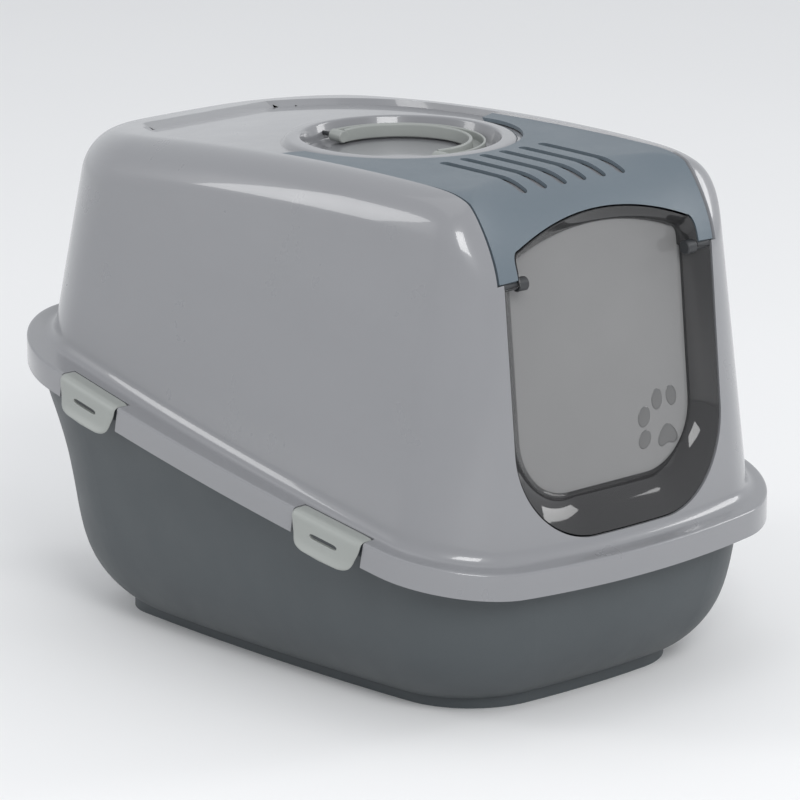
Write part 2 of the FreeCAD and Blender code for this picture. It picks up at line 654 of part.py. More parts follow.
def carry_handle():
    """C-shaped bail of channel section, lying towards +X in its cup."""
    plate = cup_ring(HANDLE_OUT, HANDLE_IN, HANDLE_LOW, HANDLE_LOW + HANDLE_WALL)
    outside = cup_ring(HANDLE_OUT, HANDLE_OUT - HANDLE_WALL, HANDLE_LOW, HANDLE_TOP)
    inside = cup_ring(HANDLE_IN + HANDLE_WALL, HANDLE_IN, HANDLE_LOW, HANDLE_TOP)
    keep = box(HANDLE_HINGE_X, 120, -200, 200, 400, 500)
    bail = plate.fuse([outside, inside]).common(keep)
    for _, sign, y in handle_ends():
        # the hub fills the channel where the pin passes
        hub = cylinder(5.6, V(HANDLE_HINGE_X, y - 7.2, HANDLE_HINGE_Z), Y_AXIS, 14.4)
        bail = bail.fuse(hub)
        bail = bail.cut(cylinder(2.0 + 0.02, V(HANDLE_HINGE_X, y - 20, HANDLE_HINGE_Z),
                                 Y_AXIS, 40))
    return bail


def make_parts():
    parts = {
        "base_pan": base_pan(),
        "hood_shell": hood_shell(),
        "filter_cover": filter_cover(),
        "filter_frame": filter_frame(),
        "carbon_filter": carbon_filter(),
        "door_flap": door_flap(),
        "door_pin_left": door_pin(-1),
        "door_pin_right": door_pin(1),
        "carry_handle": carry_handle(),
    }
    for name, sign, y in handle_ends():
        parts["handle_pin_" + name] = handle_pin(sign, y, 2.0)
    pins = []
    for name, side, y in clip_sites():
        parts[name] = placed(clip_shape(), clip_place(side, y))
        pins.append(placed(clip_pin_shape(), clip_place(side, y)))
    parts["clip_pins"] = Part.Compound(pins)
    return parts


if __name__ == "__main__":
    os.makedirs("parts", exist_ok=True)
    for name, shape in make_parts().items():
        shape.exportStep("parts/%s.step" % name)
        box_ = shape.BoundBox
        print("%-18s valid %s solids %d volume %.0f  x %.1f..%.1f y %.1f..%.1f z %.1f..%.1f" % (
            name, shape.isValid(), len(shape.Solids), shape.Volume, box_.XMin, box_.XMax,
            box_.YMin, box_.YMax, box_.ZMin, box_.ZMax))
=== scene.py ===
"""Hooded cat litter box: the looks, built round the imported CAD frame.

Shapes are worked out in millimetres as numpy grids and put into meshes in metres.
"""
import sys
import json
import math

import bmesh
import bpy
import numpy as np
from mathutils import Matrix, Vector
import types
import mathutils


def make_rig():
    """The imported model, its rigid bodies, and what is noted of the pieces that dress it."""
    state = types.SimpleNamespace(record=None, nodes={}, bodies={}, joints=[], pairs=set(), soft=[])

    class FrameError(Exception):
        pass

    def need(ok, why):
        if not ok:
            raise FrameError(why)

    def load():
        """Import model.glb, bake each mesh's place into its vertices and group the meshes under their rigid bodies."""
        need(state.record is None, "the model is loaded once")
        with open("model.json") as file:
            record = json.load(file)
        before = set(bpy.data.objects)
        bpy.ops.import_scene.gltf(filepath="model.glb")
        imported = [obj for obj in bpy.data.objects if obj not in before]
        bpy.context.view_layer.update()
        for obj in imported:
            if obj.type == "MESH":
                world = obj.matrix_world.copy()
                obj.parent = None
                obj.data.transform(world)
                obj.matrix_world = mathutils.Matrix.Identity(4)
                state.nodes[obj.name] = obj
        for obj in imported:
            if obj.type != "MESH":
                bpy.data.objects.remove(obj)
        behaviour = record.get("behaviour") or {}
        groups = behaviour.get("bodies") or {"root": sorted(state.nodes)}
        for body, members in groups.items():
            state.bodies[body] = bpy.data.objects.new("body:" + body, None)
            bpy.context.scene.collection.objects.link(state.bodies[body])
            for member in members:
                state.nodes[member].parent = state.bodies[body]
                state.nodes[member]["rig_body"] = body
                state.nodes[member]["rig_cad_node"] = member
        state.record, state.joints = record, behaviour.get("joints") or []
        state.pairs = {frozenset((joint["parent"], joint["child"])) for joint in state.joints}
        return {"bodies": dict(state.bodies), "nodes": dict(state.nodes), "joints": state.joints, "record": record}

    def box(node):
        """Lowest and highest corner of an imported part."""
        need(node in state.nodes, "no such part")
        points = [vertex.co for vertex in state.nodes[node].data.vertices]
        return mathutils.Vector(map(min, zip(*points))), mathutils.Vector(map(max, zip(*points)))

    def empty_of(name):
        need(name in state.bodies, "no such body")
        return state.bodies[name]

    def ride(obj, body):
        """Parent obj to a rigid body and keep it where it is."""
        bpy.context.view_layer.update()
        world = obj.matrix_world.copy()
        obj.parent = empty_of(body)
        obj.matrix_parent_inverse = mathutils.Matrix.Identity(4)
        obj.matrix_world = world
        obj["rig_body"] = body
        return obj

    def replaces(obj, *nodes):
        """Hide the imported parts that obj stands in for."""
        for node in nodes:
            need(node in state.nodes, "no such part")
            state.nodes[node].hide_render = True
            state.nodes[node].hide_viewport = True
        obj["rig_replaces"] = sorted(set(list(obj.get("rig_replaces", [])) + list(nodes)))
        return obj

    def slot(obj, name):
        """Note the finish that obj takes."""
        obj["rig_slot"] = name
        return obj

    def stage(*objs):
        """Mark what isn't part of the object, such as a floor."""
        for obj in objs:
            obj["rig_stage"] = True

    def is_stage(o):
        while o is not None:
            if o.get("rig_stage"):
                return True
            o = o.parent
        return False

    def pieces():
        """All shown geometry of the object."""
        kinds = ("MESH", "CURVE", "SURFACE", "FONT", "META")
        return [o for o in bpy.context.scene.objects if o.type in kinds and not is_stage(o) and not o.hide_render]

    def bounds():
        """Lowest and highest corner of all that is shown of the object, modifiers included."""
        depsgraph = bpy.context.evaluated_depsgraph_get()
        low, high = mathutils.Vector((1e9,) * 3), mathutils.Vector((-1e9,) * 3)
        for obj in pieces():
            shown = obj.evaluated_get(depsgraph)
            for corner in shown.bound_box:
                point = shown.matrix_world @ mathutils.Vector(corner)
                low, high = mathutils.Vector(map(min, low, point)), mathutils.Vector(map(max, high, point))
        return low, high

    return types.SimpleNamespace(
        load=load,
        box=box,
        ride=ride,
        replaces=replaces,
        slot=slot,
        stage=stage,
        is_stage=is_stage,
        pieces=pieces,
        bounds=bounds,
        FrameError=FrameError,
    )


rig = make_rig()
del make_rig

bl_info = {
    "name": "Hooded cat litter box",
    "version": (1, 0, 0),
    "blender": (4, 5, 0),
    "location": "3D View > Sidebar > Litter box",
    "description": "Builds the hood, tray, door, cover, handle and clips of a hooded litter box",
    "category": "Add Mesh",
}

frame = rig.load()
CAD_LOW, CAD_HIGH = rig.bounds()
MM = 0.001
SOLVER = "MANIFOLD"


def node_box(name):
    """Lowest and highest corner of a CAD node in millimetres."""
    low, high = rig.box(name)
    return np.array(low) * 1000, np.array(high) * 1000


HOOD_HIGH = node_box("hood_shell")[1]
JOINTS = {j["name"]: j for j in frame["joints"]}


def joint_place(name):
    """A joint's point in millimetres and its axis."""
    joint = JOINTS[name]
    return np.array(joint["pos_m"]) * 1000, np.array(joint["axis"])


# ---- sizes and colours a user would change --------------------------------
def size(label, words, value):
    return bpy.props.FloatProperty(name=label, description=words, default=value, unit="NONE")


def colour(label, words, value):
    return bpy.props.FloatVectorProperty(name=label, description=words, default=value,
                                         subtype="COLOR", size=3, min=0.0, max=1.0)


class LitterBoxSizes(bpy.types.PropertyGroup):
    """Sizes in millimetres, except where the name says otherwise."""
    height: size("Height", "Floor to the roof's highest line", float(HOOD_HIGH[2]))
    wall: size("Wall", "Moulded wall thickness", 2.8)
    rim_mid: size("Rim height", "Flange's lower edge at the middle", 182.4)
    rim_slope: size("Rim slope", "Rise of the flange per unit of depth", 0.189)
    lip: size("Lip", "Height of the flange's upright lip", 23.5)
    band_half: size("Band half width", "Half width of the inset band over the roof", 132.0)
    band_depth: size("Band depth", "How far the band lies below the ridge", 5.5)
    rib_pitch: size("Rib pitch", "Spacing of the ribs on the door", 6.0)


class LitterBoxColours(bpy.types.PropertyGroup):
    """Base colours of the mouldings, in linear light."""
    hood: colour("Hood", "Glossy light grey", (0.225, 0.228, 0.240))
    tray: colour("Tray", "Satin dark grey", (0.062, 0.072, 0.078))
    cover: colour("Vent cover", "Satin blue grey", (0.120, 0.150, 0.175))
    clips: colour("Clips and handle", "Pale green grey", (0.300, 0.315, 0.300))
    door: colour("Door", "Smoke tint", (0.36, 0.36, 0.36))
    paw: colour("Paw", "Paw print grey", (0.105, 0.105, 0.105))
    # painted shade: the dish is the same smoked moulding as the panel, and this darker smoke stands in for the shade
    # on its walls
    dish: colour("Door dish", "Darker smoke of the door's dish", (0.07, 0.07, 0.072))
    dark: colour("Pins and filter", "Near black", (0.03, 0.032, 0.035))
    floor: colour("Floor", "Pale backdrop", (0.86, 0.86, 0.86))


def sizes():
    return bpy.context.scene.litter_box_sizes


def colours():
    return bpy.context.scene.litter_box_colours


# ---- numpy helpers --------------------------------------------------------
def rounded_max(a, b, radius):
    """Corner between two walls a and b, each a signed distance, rounded by radius."""
    qa, qb = a + radius, b + radius
    outside = np.hypot(np.maximum(qa, 0), np.maximum(qb, 0))
    return outside + np.minimum(np.maximum(qa, qb), 0) - radius


def smooth(t):
    t = np.clip(t, 0, 1)
    return t * t * (3 - 2 * t)


def cast(field, origin, direction, reach=700.0):
    """Point where the ray from origin (inside) along direction leaves the field,
    found by halving the stretch that holds it."""
    origin, direction = np.broadcast_arrays(np.asarray(origin, float), np.asarray(direction, float))
    low = np.zeros(direction.shape[:-1])
    high = np.full(direction.shape[:-1], reach)
    for _ in range(34):
        mid = (low + high) / 2
        p = origin + direction * mid[..., None]
        inside = field(p[..., 0], p[..., 1], p[..., 2]) < 0
        low = np.where(inside, mid, low)
        high = np.where(inside, high, mid)
    return origin + direction * ((low + high) / 2)[..., None]


def unit(v):
    return v / np.linalg.norm(v, axis=-1, keepdims=True)


def resample(points, count):
    """Evenly spaced points along a polyline."""
    steps = np.linalg.norm(np.diff(points, axis=0), axis=1)
    run = np.concatenate([[0], np.cumsum(steps)])
    t = np.linspace(0, 1, count)
    return np.stack([np.interp(t * run[-1], run, points[:, k]) for k in range(points.shape[1])], 1)


def bezier(a, b, c, count):
    """Quadratic curve from a to c that leaves and arrives along b: a rounded corner."""
    t = np.linspace(0, 1, count)[:, None, None]
    return (1 - t) ** 2 * a + 2 * t * (1 - t) * b + t ** 2 * c


def turned(points, place):
    """Points moved by a 4 x 4 place."""
    m = np.array(place)
    return points @ m[:3, :3].T + m[:3, 3]


# ---- meshes and pieces ----------------------------------------------------
def quads(rows, columns, close_rows, close_columns):
    """Corner numbers of a grid's faces, row by row."""
    r = np.arange(rows if close_rows else rows - 1)
    c = np.arange(columns if close_columns else columns - 1)
    rr, cc = np.meshgrid(r, c, indexing="ij")
    r2, c2 = (rr + 1) % rows, (cc + 1) % columns
    faces = np.stack([rr * columns + cc, r2 * columns + cc, r2 * columns + c2, rr * columns + c2], -1)
    return faces.reshape(-1, 4)


def build(name, blocks):
    """One mesh from blocks of (points, faces): points in millimetres."""
    verts, faces, at = [], [], 0
    for points, quad in blocks:
        flat = np.asarray(points, float).reshape(-1, 3)
        verts.append(flat)
        faces.extend((quad + at).tolist())
        at += len(flat)
    mesh = bpy.data.meshes.new(name)
    mesh.from_pydata((np.concatenate(verts) * MM).tolist(), [], faces)
    obj = bpy.data.objects.new(name, mesh)
    bpy.context.scene.collection.objects.link(obj)
    return obj


def finish_mesh(obj, sharp=35.0, merge=0.00002, outward=True):
    """Merges doubles, points faces outwards, shades smooth with sharp edges above an angle."""
    bm = bmesh.new()
    bm.from_mesh(obj.data)
    bmesh.ops.remove_doubles(bm, verts=bm.verts, dist=merge)
    bmesh.ops.dissolve_degenerate(bm, edges=bm.edges, dist=merge / 2)
    if outward:
        bmesh.ops.recalc_face_normals(bm, faces=bm.faces)
        if bm.calc_volume(signed=True) < 0:
            bmesh.ops.reverse_faces(bm, faces=bm.faces)
    limit = math.radians(sharp)
    for face in bm.faces:
        face.smooth = True
    for edge in bm.edges:
        edge.smooth = not (len(edge.link_faces) == 2 and edge.calc_face_angle(0.0) > limit)
    bm.to_mesh(obj.data)
    bm.free()
    obj.data.update()
    return obj


def cut(obj, cutter):
    """Boolean with another closed mesh, worked out at once; the cutter is removed."""
    modifier = obj.modifiers.new("cut", "BOOLEAN")
    modifier.operation = "DIFFERENCE"
    modifier.solver = SOLVER
    modifier.object = cutter
    depsgraph = bpy.context.evaluated_depsgraph_get()
    depsgraph.update()
    mesh = bpy.data.meshes.new_from_object(obj.evaluated_get(depsgraph))
    obj.modifiers.clear()
    old = obj.data
    obj.data = mesh
    mesh.name = obj.name
    bpy.data.meshes.remove(old)
    bpy.data.objects.remove(cutter)
    return obj


def cut_blocks(obj, blocks):
    """Cuts blocks of (points, faces) out of obj in one go."""
    cutter = build("cutter", blocks)
    finish_mesh(cutter)
    cut(obj, cutter)


def bevel(obj, width, segments=2, angle=35.0):
    """Small rounding on the crisp edges."""
    modifier = obj.modifiers.new("edges", "BEVEL")
    modifier.width = width * MM
    modifier.segments = segments
    modifier.limit_method = "ANGLE"
    modifier.angle_limit = math.radians(angle)
    modifier.harden_normals = True
    return obj


def fit_out(obj, body, material, slot, *nodes):
    """Material, body, record slot and the CAD nodes that the piece stands for."""
    obj.data.materials.clear()
    obj.data.materials.append(material)
    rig.ride(obj, body)
    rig.slot(obj, slot)
    if nodes:
        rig.replaces(obj, *nodes)
    return obj


def solid_loop(name, rings, caps=True):
    """Closed skin from a stack of closed rings (count, points, 3); caps fill the two
    ends by shrinking the last ring to its middle."""
    rings = list(rings)
    if caps:
        rings.insert(0, np.broadcast_to(rings[0].mean(0), rings[0].shape))
        rings.append(np.broadcast_to(rings[-1].mean(0), rings[-1].shape))
    stack = np.stack(rings)
    return build(name, [(stack, quads(stack.shape[0], stack.shape[1], False, True))])


# ---- materials ------------------------------------------------------------
def start_material(name):
    material = bpy.data.materials.new(name)
    material.use_nodes = True
    tree = material.node_tree
    shader = tree.nodes["Principled BSDF"]
    place = tree.nodes.new("ShaderNodeTexCoord")
    return material, tree, shader, place.outputs["Object"]


def noise(tree, place, scale, detail=2.0, stretch=None):
    """Noise on Object coordinates; scale is in cycles per metre."""
    texture = tree.nodes.new("ShaderNodeTexNoise")
    texture.inputs["Scale"].default_value = scale
    texture.inputs["Detail"].default_value = detail
    if stretch is None:
        tree.links.new(place, texture.inputs["Vector"])
    else:
        mapping = tree.nodes.new("ShaderNodeMapping")
        mapping.inputs["Scale"].default_value = stretch
        tree.links.new(place, mapping.inputs["Vector"])
        tree.links.new(mapping.outputs["Vector"], texture.inputs["Vector"])
    return texture.outputs["Fac"]


def ramp(tree, source, low, high, start=0.35, end=0.65):
    """Straight map of a factor from [start, end] to [low, high]."""
    node = tree.nodes.new("ShaderNodeMapRange")
    node.inputs["From Min"].default_value = start
    node.inputs["From Max"].default_value = end
    node.inputs["To Min"].default_value = low
    node.inputs["To Max"].default_value = high
    tree.links.new(source, node.inputs["Value"])
    return node.outputs["Result"]


def tint(tree, factor, low, high):
    """Colour between low and high by a factor."""
    node = tree.nodes.new("ShaderNodeMix")
    node.data_type = "RGBA"
    node.inputs["A"].default_value = (*low, 1)
    node.inputs["B"].default_value = (*high, 1)
    tree.links.new(factor, node.inputs["Factor"])
    return node.outputs["Result"]


def bump(tree, shader, height, strength, distance):
    node = tree.nodes.new("ShaderNodeBump")
    node.inputs["Strength"].default_value = strength
    node.inputs["Distance"].default_value = distance
    tree.links.new(height, node.inputs["Height"])
    tree.links.new(node.outputs["Normal"], shader.inputs["Normal"])
    return node


def add(tree, a, b, weight):
    """a + b * weight"""
    node = tree.nodes.new("ShaderNodeMath")
    node.operation = "MULTIPLY_ADD"
    node.inputs[1].default_value = weight
    tree.links.new(b, node.inputs[0])
    tree.links.new(a, node.inputs[2])
    return node.outputs[0]


def moulded(name, base, rough, spread, grain_scale, grain_depth, flow=0.03, dust=0.0, coat=0.0):
    """Injection-moulded plastic: slow colour drift along the melt's flow, fine surface grain in the
    height, patchy roughness, and a little dust or scuff where a broad noise peaks."""
    material, tree, shader, place = start_material(name)
    base = np.array(base)
    drift = ramp(tree, noise(tree, place, 7.0, 3.0, (1.0, 0.6, 1.6)), 0.0, 1.0, 0.3, 0.7)
    colour_out = tint(tree, drift, base * (1 - flow), np.minimum(base * (1 + flow), 1))
    scuff = ramp(tree, noise(tree, place, 160.0, 6.0, (1.0, 3.5, 1.0)), 0.0, 1.0, 0.62, 0.78)
    if dust > 0:
        node = tree.nodes.new("ShaderNodeMix")
        node.data_type = "RGBA"
        node.inputs["B"].default_value = (*np.minimum(base * 1.25 + 0.03, 1), 1)
        share = tree.nodes.new("ShaderNodeMath")
        share.operation = "MULTIPLY"
        share.inputs[1].default_value = dust
        tree.links.new(scuff, share.inputs[0])
        tree.links.new(share.outputs[0], node.inputs["Factor"])
        tree.links.new(colour_out, node.inputs["A"])
        colour_out = node.outputs["Result"]
    tree.links.new(colour_out, shader.inputs["Base Color"])
    patches = ramp(tree, noise(tree, place, 24.0, 4.0), rough - spread, rough + spread, 0.3, 0.7)
    tree.links.new(add(tree, patches, scuff, 0.10), shader.inputs["Roughness"])
    grain = add(tree, noise(tree, place, grain_scale, 2.0), noise(tree, place, grain_scale / 14, 2.0), 0.6)
    bump(tree, shader, grain, 0.5, grain_depth)
    shader.inputs["Coat Weight"].default_value = coat
    shader.inputs["Coat Roughness"].default_value = 0.04
    shader.inputs["IOR"].default_value = 1.49
    return material


def smoked(name, base, clear):
    """Clear smoked plastic: grey see-through body with a polished, faintly rippled skin."""
    material, tree, shader, place = start_material(name)
    base = np.array(base)
    drift = ramp(tree, noise(tree, place, 9.0, 2.0), 0.0, 1.0, 0.3, 0.7)
    tree.links.new(tint(tree, drift, base * 0.97, base * 1.03), shader.inputs["Base Color"])
    patches = ramp(tree, noise(tree, place, 40.0, 4.0), 0.03, 0.06, 0.3, 0.7)
    tree.links.new(patches, shader.inputs["Roughness"])
    bump(tree, shader, noise(tree, place, 14.0, 1.0), 0.10, 0.0002)
    shader.inputs["Transmission Weight"].default_value = clear
    shader.inputs["IOR"].default_value = 1.46
    return material


def fleece(name, base):
    """Carbon filter mat: black felt of tangled fibres."""
    material, tree, shader, place = start_material(name)
    base = np.array(base)
    fibres = ramp(tree, noise(tree, place, 900.0, 8.0, (1.0, 3.0, 2.0)), 0.0, 1.0, 0.35, 0.65)
    tree.links.new(tint(tree, fibres, base * 0.5, base * 1.8), shader.inputs["Base Color"])
    tree.links.new(ramp(tree, fibres, 0.85, 1.0, 0, 1), shader.inputs["Roughness"])
    bump(tree, shader, fibres, 0.9, 0.0012)
    shader.inputs["Sheen Weight"].default_value = 0.2
    return material


_made = {}


def finish_of(name):
    """A material by name, made once."""
    if name not in _made:
        c = colours()
        recipes = {
            "hood_gloss": lambda: moulded(name, c.hood, 0.30, 0.03, 900.0, 0.00003, flow=0.015, coat=0.8),
            "tray_satin": lambda: moulded(name, c.tray, 0.50, 0.04, 1500.0, 0.00012, flow=0.03, dust=0.03),
            "cover_satin": lambda: moulded(name, c.cover, 0.40, 0.03, 2200.0, 0.00030, flow=0.03),
            "clip_satin": lambda: moulded(name, c.clips, 0.40, 0.04, 1500.0, 0.00008),
            "pin_dark": lambda: moulded(name, c.dark, 0.42, 0.05, 1500.0, 0.00008, flow=0.1),
            "door_smoke": lambda: smoked(name, c.door, 0.45),
            # the dish takes a darker copy of the door's smoke: painted shade
            "dish_smoke_painted_shade": lambda: smoked(name, c.dish, 0.55),
            "paw_dark": lambda: moulded(name, c.paw, 0.30, 0.03, 900.0, 0.00004, coat=0.6),
            "filter_fleece": lambda: fleece(name, (0.02, 0.02, 0.022)),
        }
        _made[name] = recipes[name]()
    return _made[name]


def dress_node(name, material):
    """Gives a CAD node its finish."""
    node = frame["nodes"][name]
    node.data.materials.clear()
    node.data.materials.append(finish_of(material))


# ---- stage ----------------------------------------------------------------
AZIMUTH, ELEVATION, DISTANCE = -43.3, 14.7, 4.4526
LENS = 220.3
AIM = Vector((0, 0, 0.220))
AIM_RIGHT, AIM_UP = 0.0100, -0.00815


def make_camera():
    a, e = math.radians(AZIMUTH), math.radians(ELEVATION)
    back = Vector((math.sin(a) * math.cos(e), -math.cos(a) * math.cos(e), math.sin(e)))
    turn = (-back).to_track_quat("-Z", "Y")
    right, up = turn @ Vector((1, 0, 0)), turn @ Vector((0, 1, 0))
    data = bpy.data.cameras.new("view")
    data.lens, data.sensor_width = LENS, 36.0
    data.clip_start, data.clip_end = 0.1, 60.0
    camera = bpy.data.objects.new("view", data)
    bpy.context.scene.collection.objects.link(camera)
    camera.location = AIM + right * AIM_RIGHT + up * AIM_UP + back * DISTANCE
    camera.rotation_mode = "QUATERNION"
    camera.rotation_quaternion = turn
    bpy.context.scene.camera = camera


def softbox(name, place, aim, width, height, power):
    data = bpy.data.lights.new(name, "AREA")
    data.shape = "RECTANGLE"
    data.size, data.size_y, data.energy = width, height, power
    lamp = bpy.data.objects.new(name, data)
    bpy.context.scene.collection.objects.link(lamp)
    lamp.location = place
    lamp.rotation_mode = "QUATERNION"
    lamp.rotation_quaternion = (Vector(aim) - Vector(place)).to_track_quat("-Z", "Y")


class LITTERBOX_OT_stage(bpy.types.Operator):
    """Floor, soft studio lights and the camera"""
    bl_idname = "litter_box.stage"
    bl_label = "Stage"

    def execute(self, context):
        make_camera()
        half = 12.0
        grid = np.linspace(-half, half, 3)
        xx, yy = np.meshgrid(grid, grid, indexing="ij")
        mesh = bpy.data.meshes.new("floor")
        mesh.from_pydata(np.stack([xx, yy, xx * 0], -1).reshape(-1, 3).tolist(), [],
                         quads(3, 3, False, False).tolist())
        floor = bpy.data.objects.new("floor", mesh)
        context.scene.collection.objects.link(floor)
        material, tree, shader, place = start_material("backdrop")
        tone = np.array(colours().floor)
        drift = ramp(tree, noise(tree, place, 1.2, 2.0), 0.0, 1.0, 0.3, 0.7)
        tree.links.new(tint(tree, drift, tone * 0.99, tone), shader.inputs["Base Color"])
        shader.inputs["Roughness"].default_value = 0.75
        shader.inputs["Specular IOR Level"].default_value = 0.2
        mesh.materials.append(material)
        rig.stage(floor)
        softbox("key", (-1.6, -3.2, 2.6), (0, 0, 0.2), 1.7, 1.7, 75)
        softbox("fill", (3.4, -1.6, 1.8), (0, 0, 0.2), 0.9, 1.8, 26)
        softbox("top", (0.2, 0.4, 3.2), (0, 0, 0.2), 2.4, 2.4, 6)
        softbox("rear", (-2.6, 2.4, 1.8), (0, 0, 0.2), 1.0, 2.0, 25)
        world = bpy.data.worlds.new("studio")
        world.use_nodes = True
        world.node_tree.nodes["Background"].inputs["Color"].default_value = (0.95, 0.97, 1.0, 1)
        world.node_tree.nodes["Background"].inputs["Strength"].default_value = 0.75
        context.scene.world = world
        context.scene.view_settings.view_transform = "Standard"
        return {"FINISHED"}


# ---- the hood's outer form ------------------------------------------------
# all in millimetres; a lean is sideways per unit of height, a bow is distance squared over it
ROOF_RADIUS, CROWN_Y = 3160.0, -110.0
HOOD_FOOT = 150.0                               # height where the walls below are measured
SIDE_HALF, SIDE_LEAN, SIDE_BOW, SIDE_MIDDLE = 217.5, 0.148, 5600.0, 4.0
FRONT_Y, FRONT_LEAN, FRONT_BOW = -311.0, 0.098, 1700.0
BACK_Y, BACK_BOW = 314.0, 1200.0
FRONT_CORNER, FRONT_CORNER_LOSS = 62.0, 32.0    # radius at the foot, and its change to the roof
BACK_CORNER, BACK_CORNER_GAIN = 38.0, 82.0
SHOULDER, FRONT_ROUND = 33.0, 80.0              # roof into the walls, and into the front
FRONT_BLEND = 12.0                              # how softly one of these turns into the other
BAND_START, BAND_END, BAND_POWER = 60.0, 266.0, 2.25
BAND_FOOT = 395.5                               # lower end of the band on the front
RIM_SIDE_BOW, RIM_END_BOW = 5200.0, 1800.0
RIM_FRONT_CORNER, RIM_BACK_CORNER = 76.0, 92.0
LIP_WALL, LIP_EDGE, COVE = 3.0, 2.2, 11.0       # lip's thickness, its rounding, fillet to the wall
COVE_SHARE = 0.62                               # most of the flange's width that the fillet takes
MIDDLE = np.array([0.0, 0.0, 230.0])            # rays round and over the hood start here
SPAN_Y, SPAN_Z = -150.0, 300.0                  # rays over the front and the roof start here
FRONT_RAY = -140.0                              # how far the front lies before that point
BAND_END_RISE, BAND_END_RUN = 147.0, 415.5      # slope of the ray to the band's rear end
BAND_END_HALF = 24.0                            # half width where the band is cut off
BAND_LID, BAND_FLARE = 6.0, 4.5                 # cutter above the skin, and its walls' lean
COLUMNS = 420


def hood_field(x, y, z):
    """Signed distance to the hood's outer skin, about in millimetres: leaning bowed
    walls met by round upright corners, tighter at the front's top and rounder at the
    back's, under a roof arched from front to back and rounded over all its edges."""
    s = sizes()
    rise = z - HOOD_FOOT
    share = np.clip(rise / (s.height - HOOD_FOOT), -0.4, 1.05)
    side = np.abs(x) - SIDE_HALF + SIDE_LEAN * rise + (y - SIDE_MIDDLE) ** 2 / SIDE_BOW
    side = side / math.hypot(1, SIDE_LEAN)
    front = (FRONT_Y + FRONT_LEAN * rise + x ** 2 / FRONT_BOW - y) / math.hypot(1, FRONT_LEAN)
    back = y - BACK_Y + x ** 2 / BACK_BOW
    fronts = rounded_max(side, front, FRONT_CORNER - FRONT_CORNER_LOSS * share)
    backs = rounded_max(side, back, BACK_CORNER + BACK_CORNER_GAIN * share)
    wall = np.where(y < 0, fronts, backs)
    roof = z - (s.height - (y - CROWN_Y) ** 2 / (2 * ROOF_RADIUS))
    toward = 1 / (1 + np.exp(np.clip((side - front) / FRONT_BLEND, -30, 30)))
    rounding = SHOULDER + (FRONT_ROUND - SHOULDER) * toward * (y < 0)
    return rounded_max(wall, roof, rounding)


def band_half(y):
    """Half width of the inset band at depth y: straight, then a superellipse's end."""
    s = sizes()
    share = np.clip((y - BAND_START) / (BAND_END - BAND_START), 0, 1)
    return s.band_half * (1 - share ** BAND_POWER) ** (1 / BAND_POWER)


def inner_field(x, y, z):
    """The hood's inside: a wall in from the skin, and deeper under the band."""
    s = sizes()
    under = smooth((band_half(y) + 6 - np.abs(x)) / 6) * smooth((z - 380) / 8)
    return hood_field(x, y, z) + s.wall + s.band_depth * under


def rim_field(x, y):
    """Signed distance, in plan, outside the flange: bowed sides and round corners."""
    side = np.abs(x) - HOOD_HIGH[0] + y ** 2 / RIM_SIDE_BOW
    end = np.abs(y) - HOOD_HIGH[1] + x ** 2 / RIM_END_BOW
    return rounded_max(side, end, np.where(y < 0, RIM_FRONT_CORNER, RIM_BACK_CORNER))


def rim_height(y, up=0.0):
    """Height of the sloping rim's lower edge at depth y, raised by up."""
    s = sizes()
    return s.rim_mid + s.rim_slope * y + up


def heading():
    """Unit-height directions round the hood, evenly shared along its plan."""
    t = np.linspace(0, 2 * np.pi, COLUMNS, endpoint=False)
    return np.stack([np.cos(t), 1.35 * np.sin(t), 0 * t], 1)


def rim_ring(inset, up):
    """Ring round the flange, inset in plan, up above the lip's lower edge."""
    way = unit(heading())
    ring = cast(lambda x, y, z: rim_field(x, y) + inset, np.zeros(3), way)
    ring[:, 2] = rim_height(ring[:, 1], up)
    return ring


def wall_ring(field, up):
    """Ring where a skin stands up above the lip's lower edge by up."""
    way = unit(heading())
    height = np.full(COLUMNS, 210.0)
    for _ in range(5):
        start = np.stack([0 * height, 0 * height, height], 1)
        ring = cast(field, start, way)
        height = rim_height(ring[:, 1], up)
    return ring


def dome(field, foot, rows):
    """Rings from a foot ring up over the roof to its middle: rays from the middle
    swing evenly from the foot's direction to straight up."""
    first = foot - MIDDLE
    level = np.hypot(first[:, 0], first[:, 1])
    start = np.arctan2(first[:, 2], level)
    flat = np.stack([first[:, 0] / level, first[:, 1] / level], 1)
    share = np.linspace(0, 1, rows)[1:-1, None]
    # more rows where the walls turn into the roof
    share = share + 0.12 * np.sin(2 * np.pi * share) / (2 * np.pi)
    angle = start + (np.pi / 2 - start) * share
    way = np.stack([flat[:, 0] * np.cos(angle), flat[:, 1] * np.cos(angle), np.sin(angle)], -1)
    body = cast(field, MIDDLE, way)
    top = cast(field, MIDDLE, np.array([0.0, 0.0, 1.0]))
    pole = np.broadcast_to(top, foot.shape)
    return [*body, pole]


def hood_rings():
    """Closed skin of the hood, from the roof's middle inside, down the inner walls,
    round the flange and its lip, and up the outer walls to the roof's middle."""
    s = sizes()
    lip, wall, cove, edge = s.lip, s.wall, COVE, LIP_EDGE
    inner_foot = wall_ring(inner_field, lip - wall)
    inside = dome(inner_field, inner_foot, 60)[::-1] + [inner_foot]
    under = [rim_ring(LIP_WALL, lip - wall), rim_ring(LIP_WALL, 0.0)]
    lip_rings = [rim_ring(0.0, 0.0), rim_ring(0.0, (lip - edge) / 2)]
    crease = list(bezier(rim_ring(0.0, lip - edge), rim_ring(0.0, lip), rim_ring(edge * 1.6, lip), 5))
    foot, high = wall_ring(hood_field, lip), wall_ring(hood_field, lip + cove)
    outward = unit((foot - MIDDLE) * np.array([1, 1, 0]))
    room = np.linalg.norm((crease[-1] - foot)[:, :2], axis=1)
    low = foot + outward * np.minimum(cove, COVE_SHARE * room)[:, None]
    low[:, 2] = rim_height(low[:, 1], lip)
    bend = list(bezier(low, foot, high, 8))
    return inside + under + lip_rings + crease + bend + dome(hood_field, high, 150)


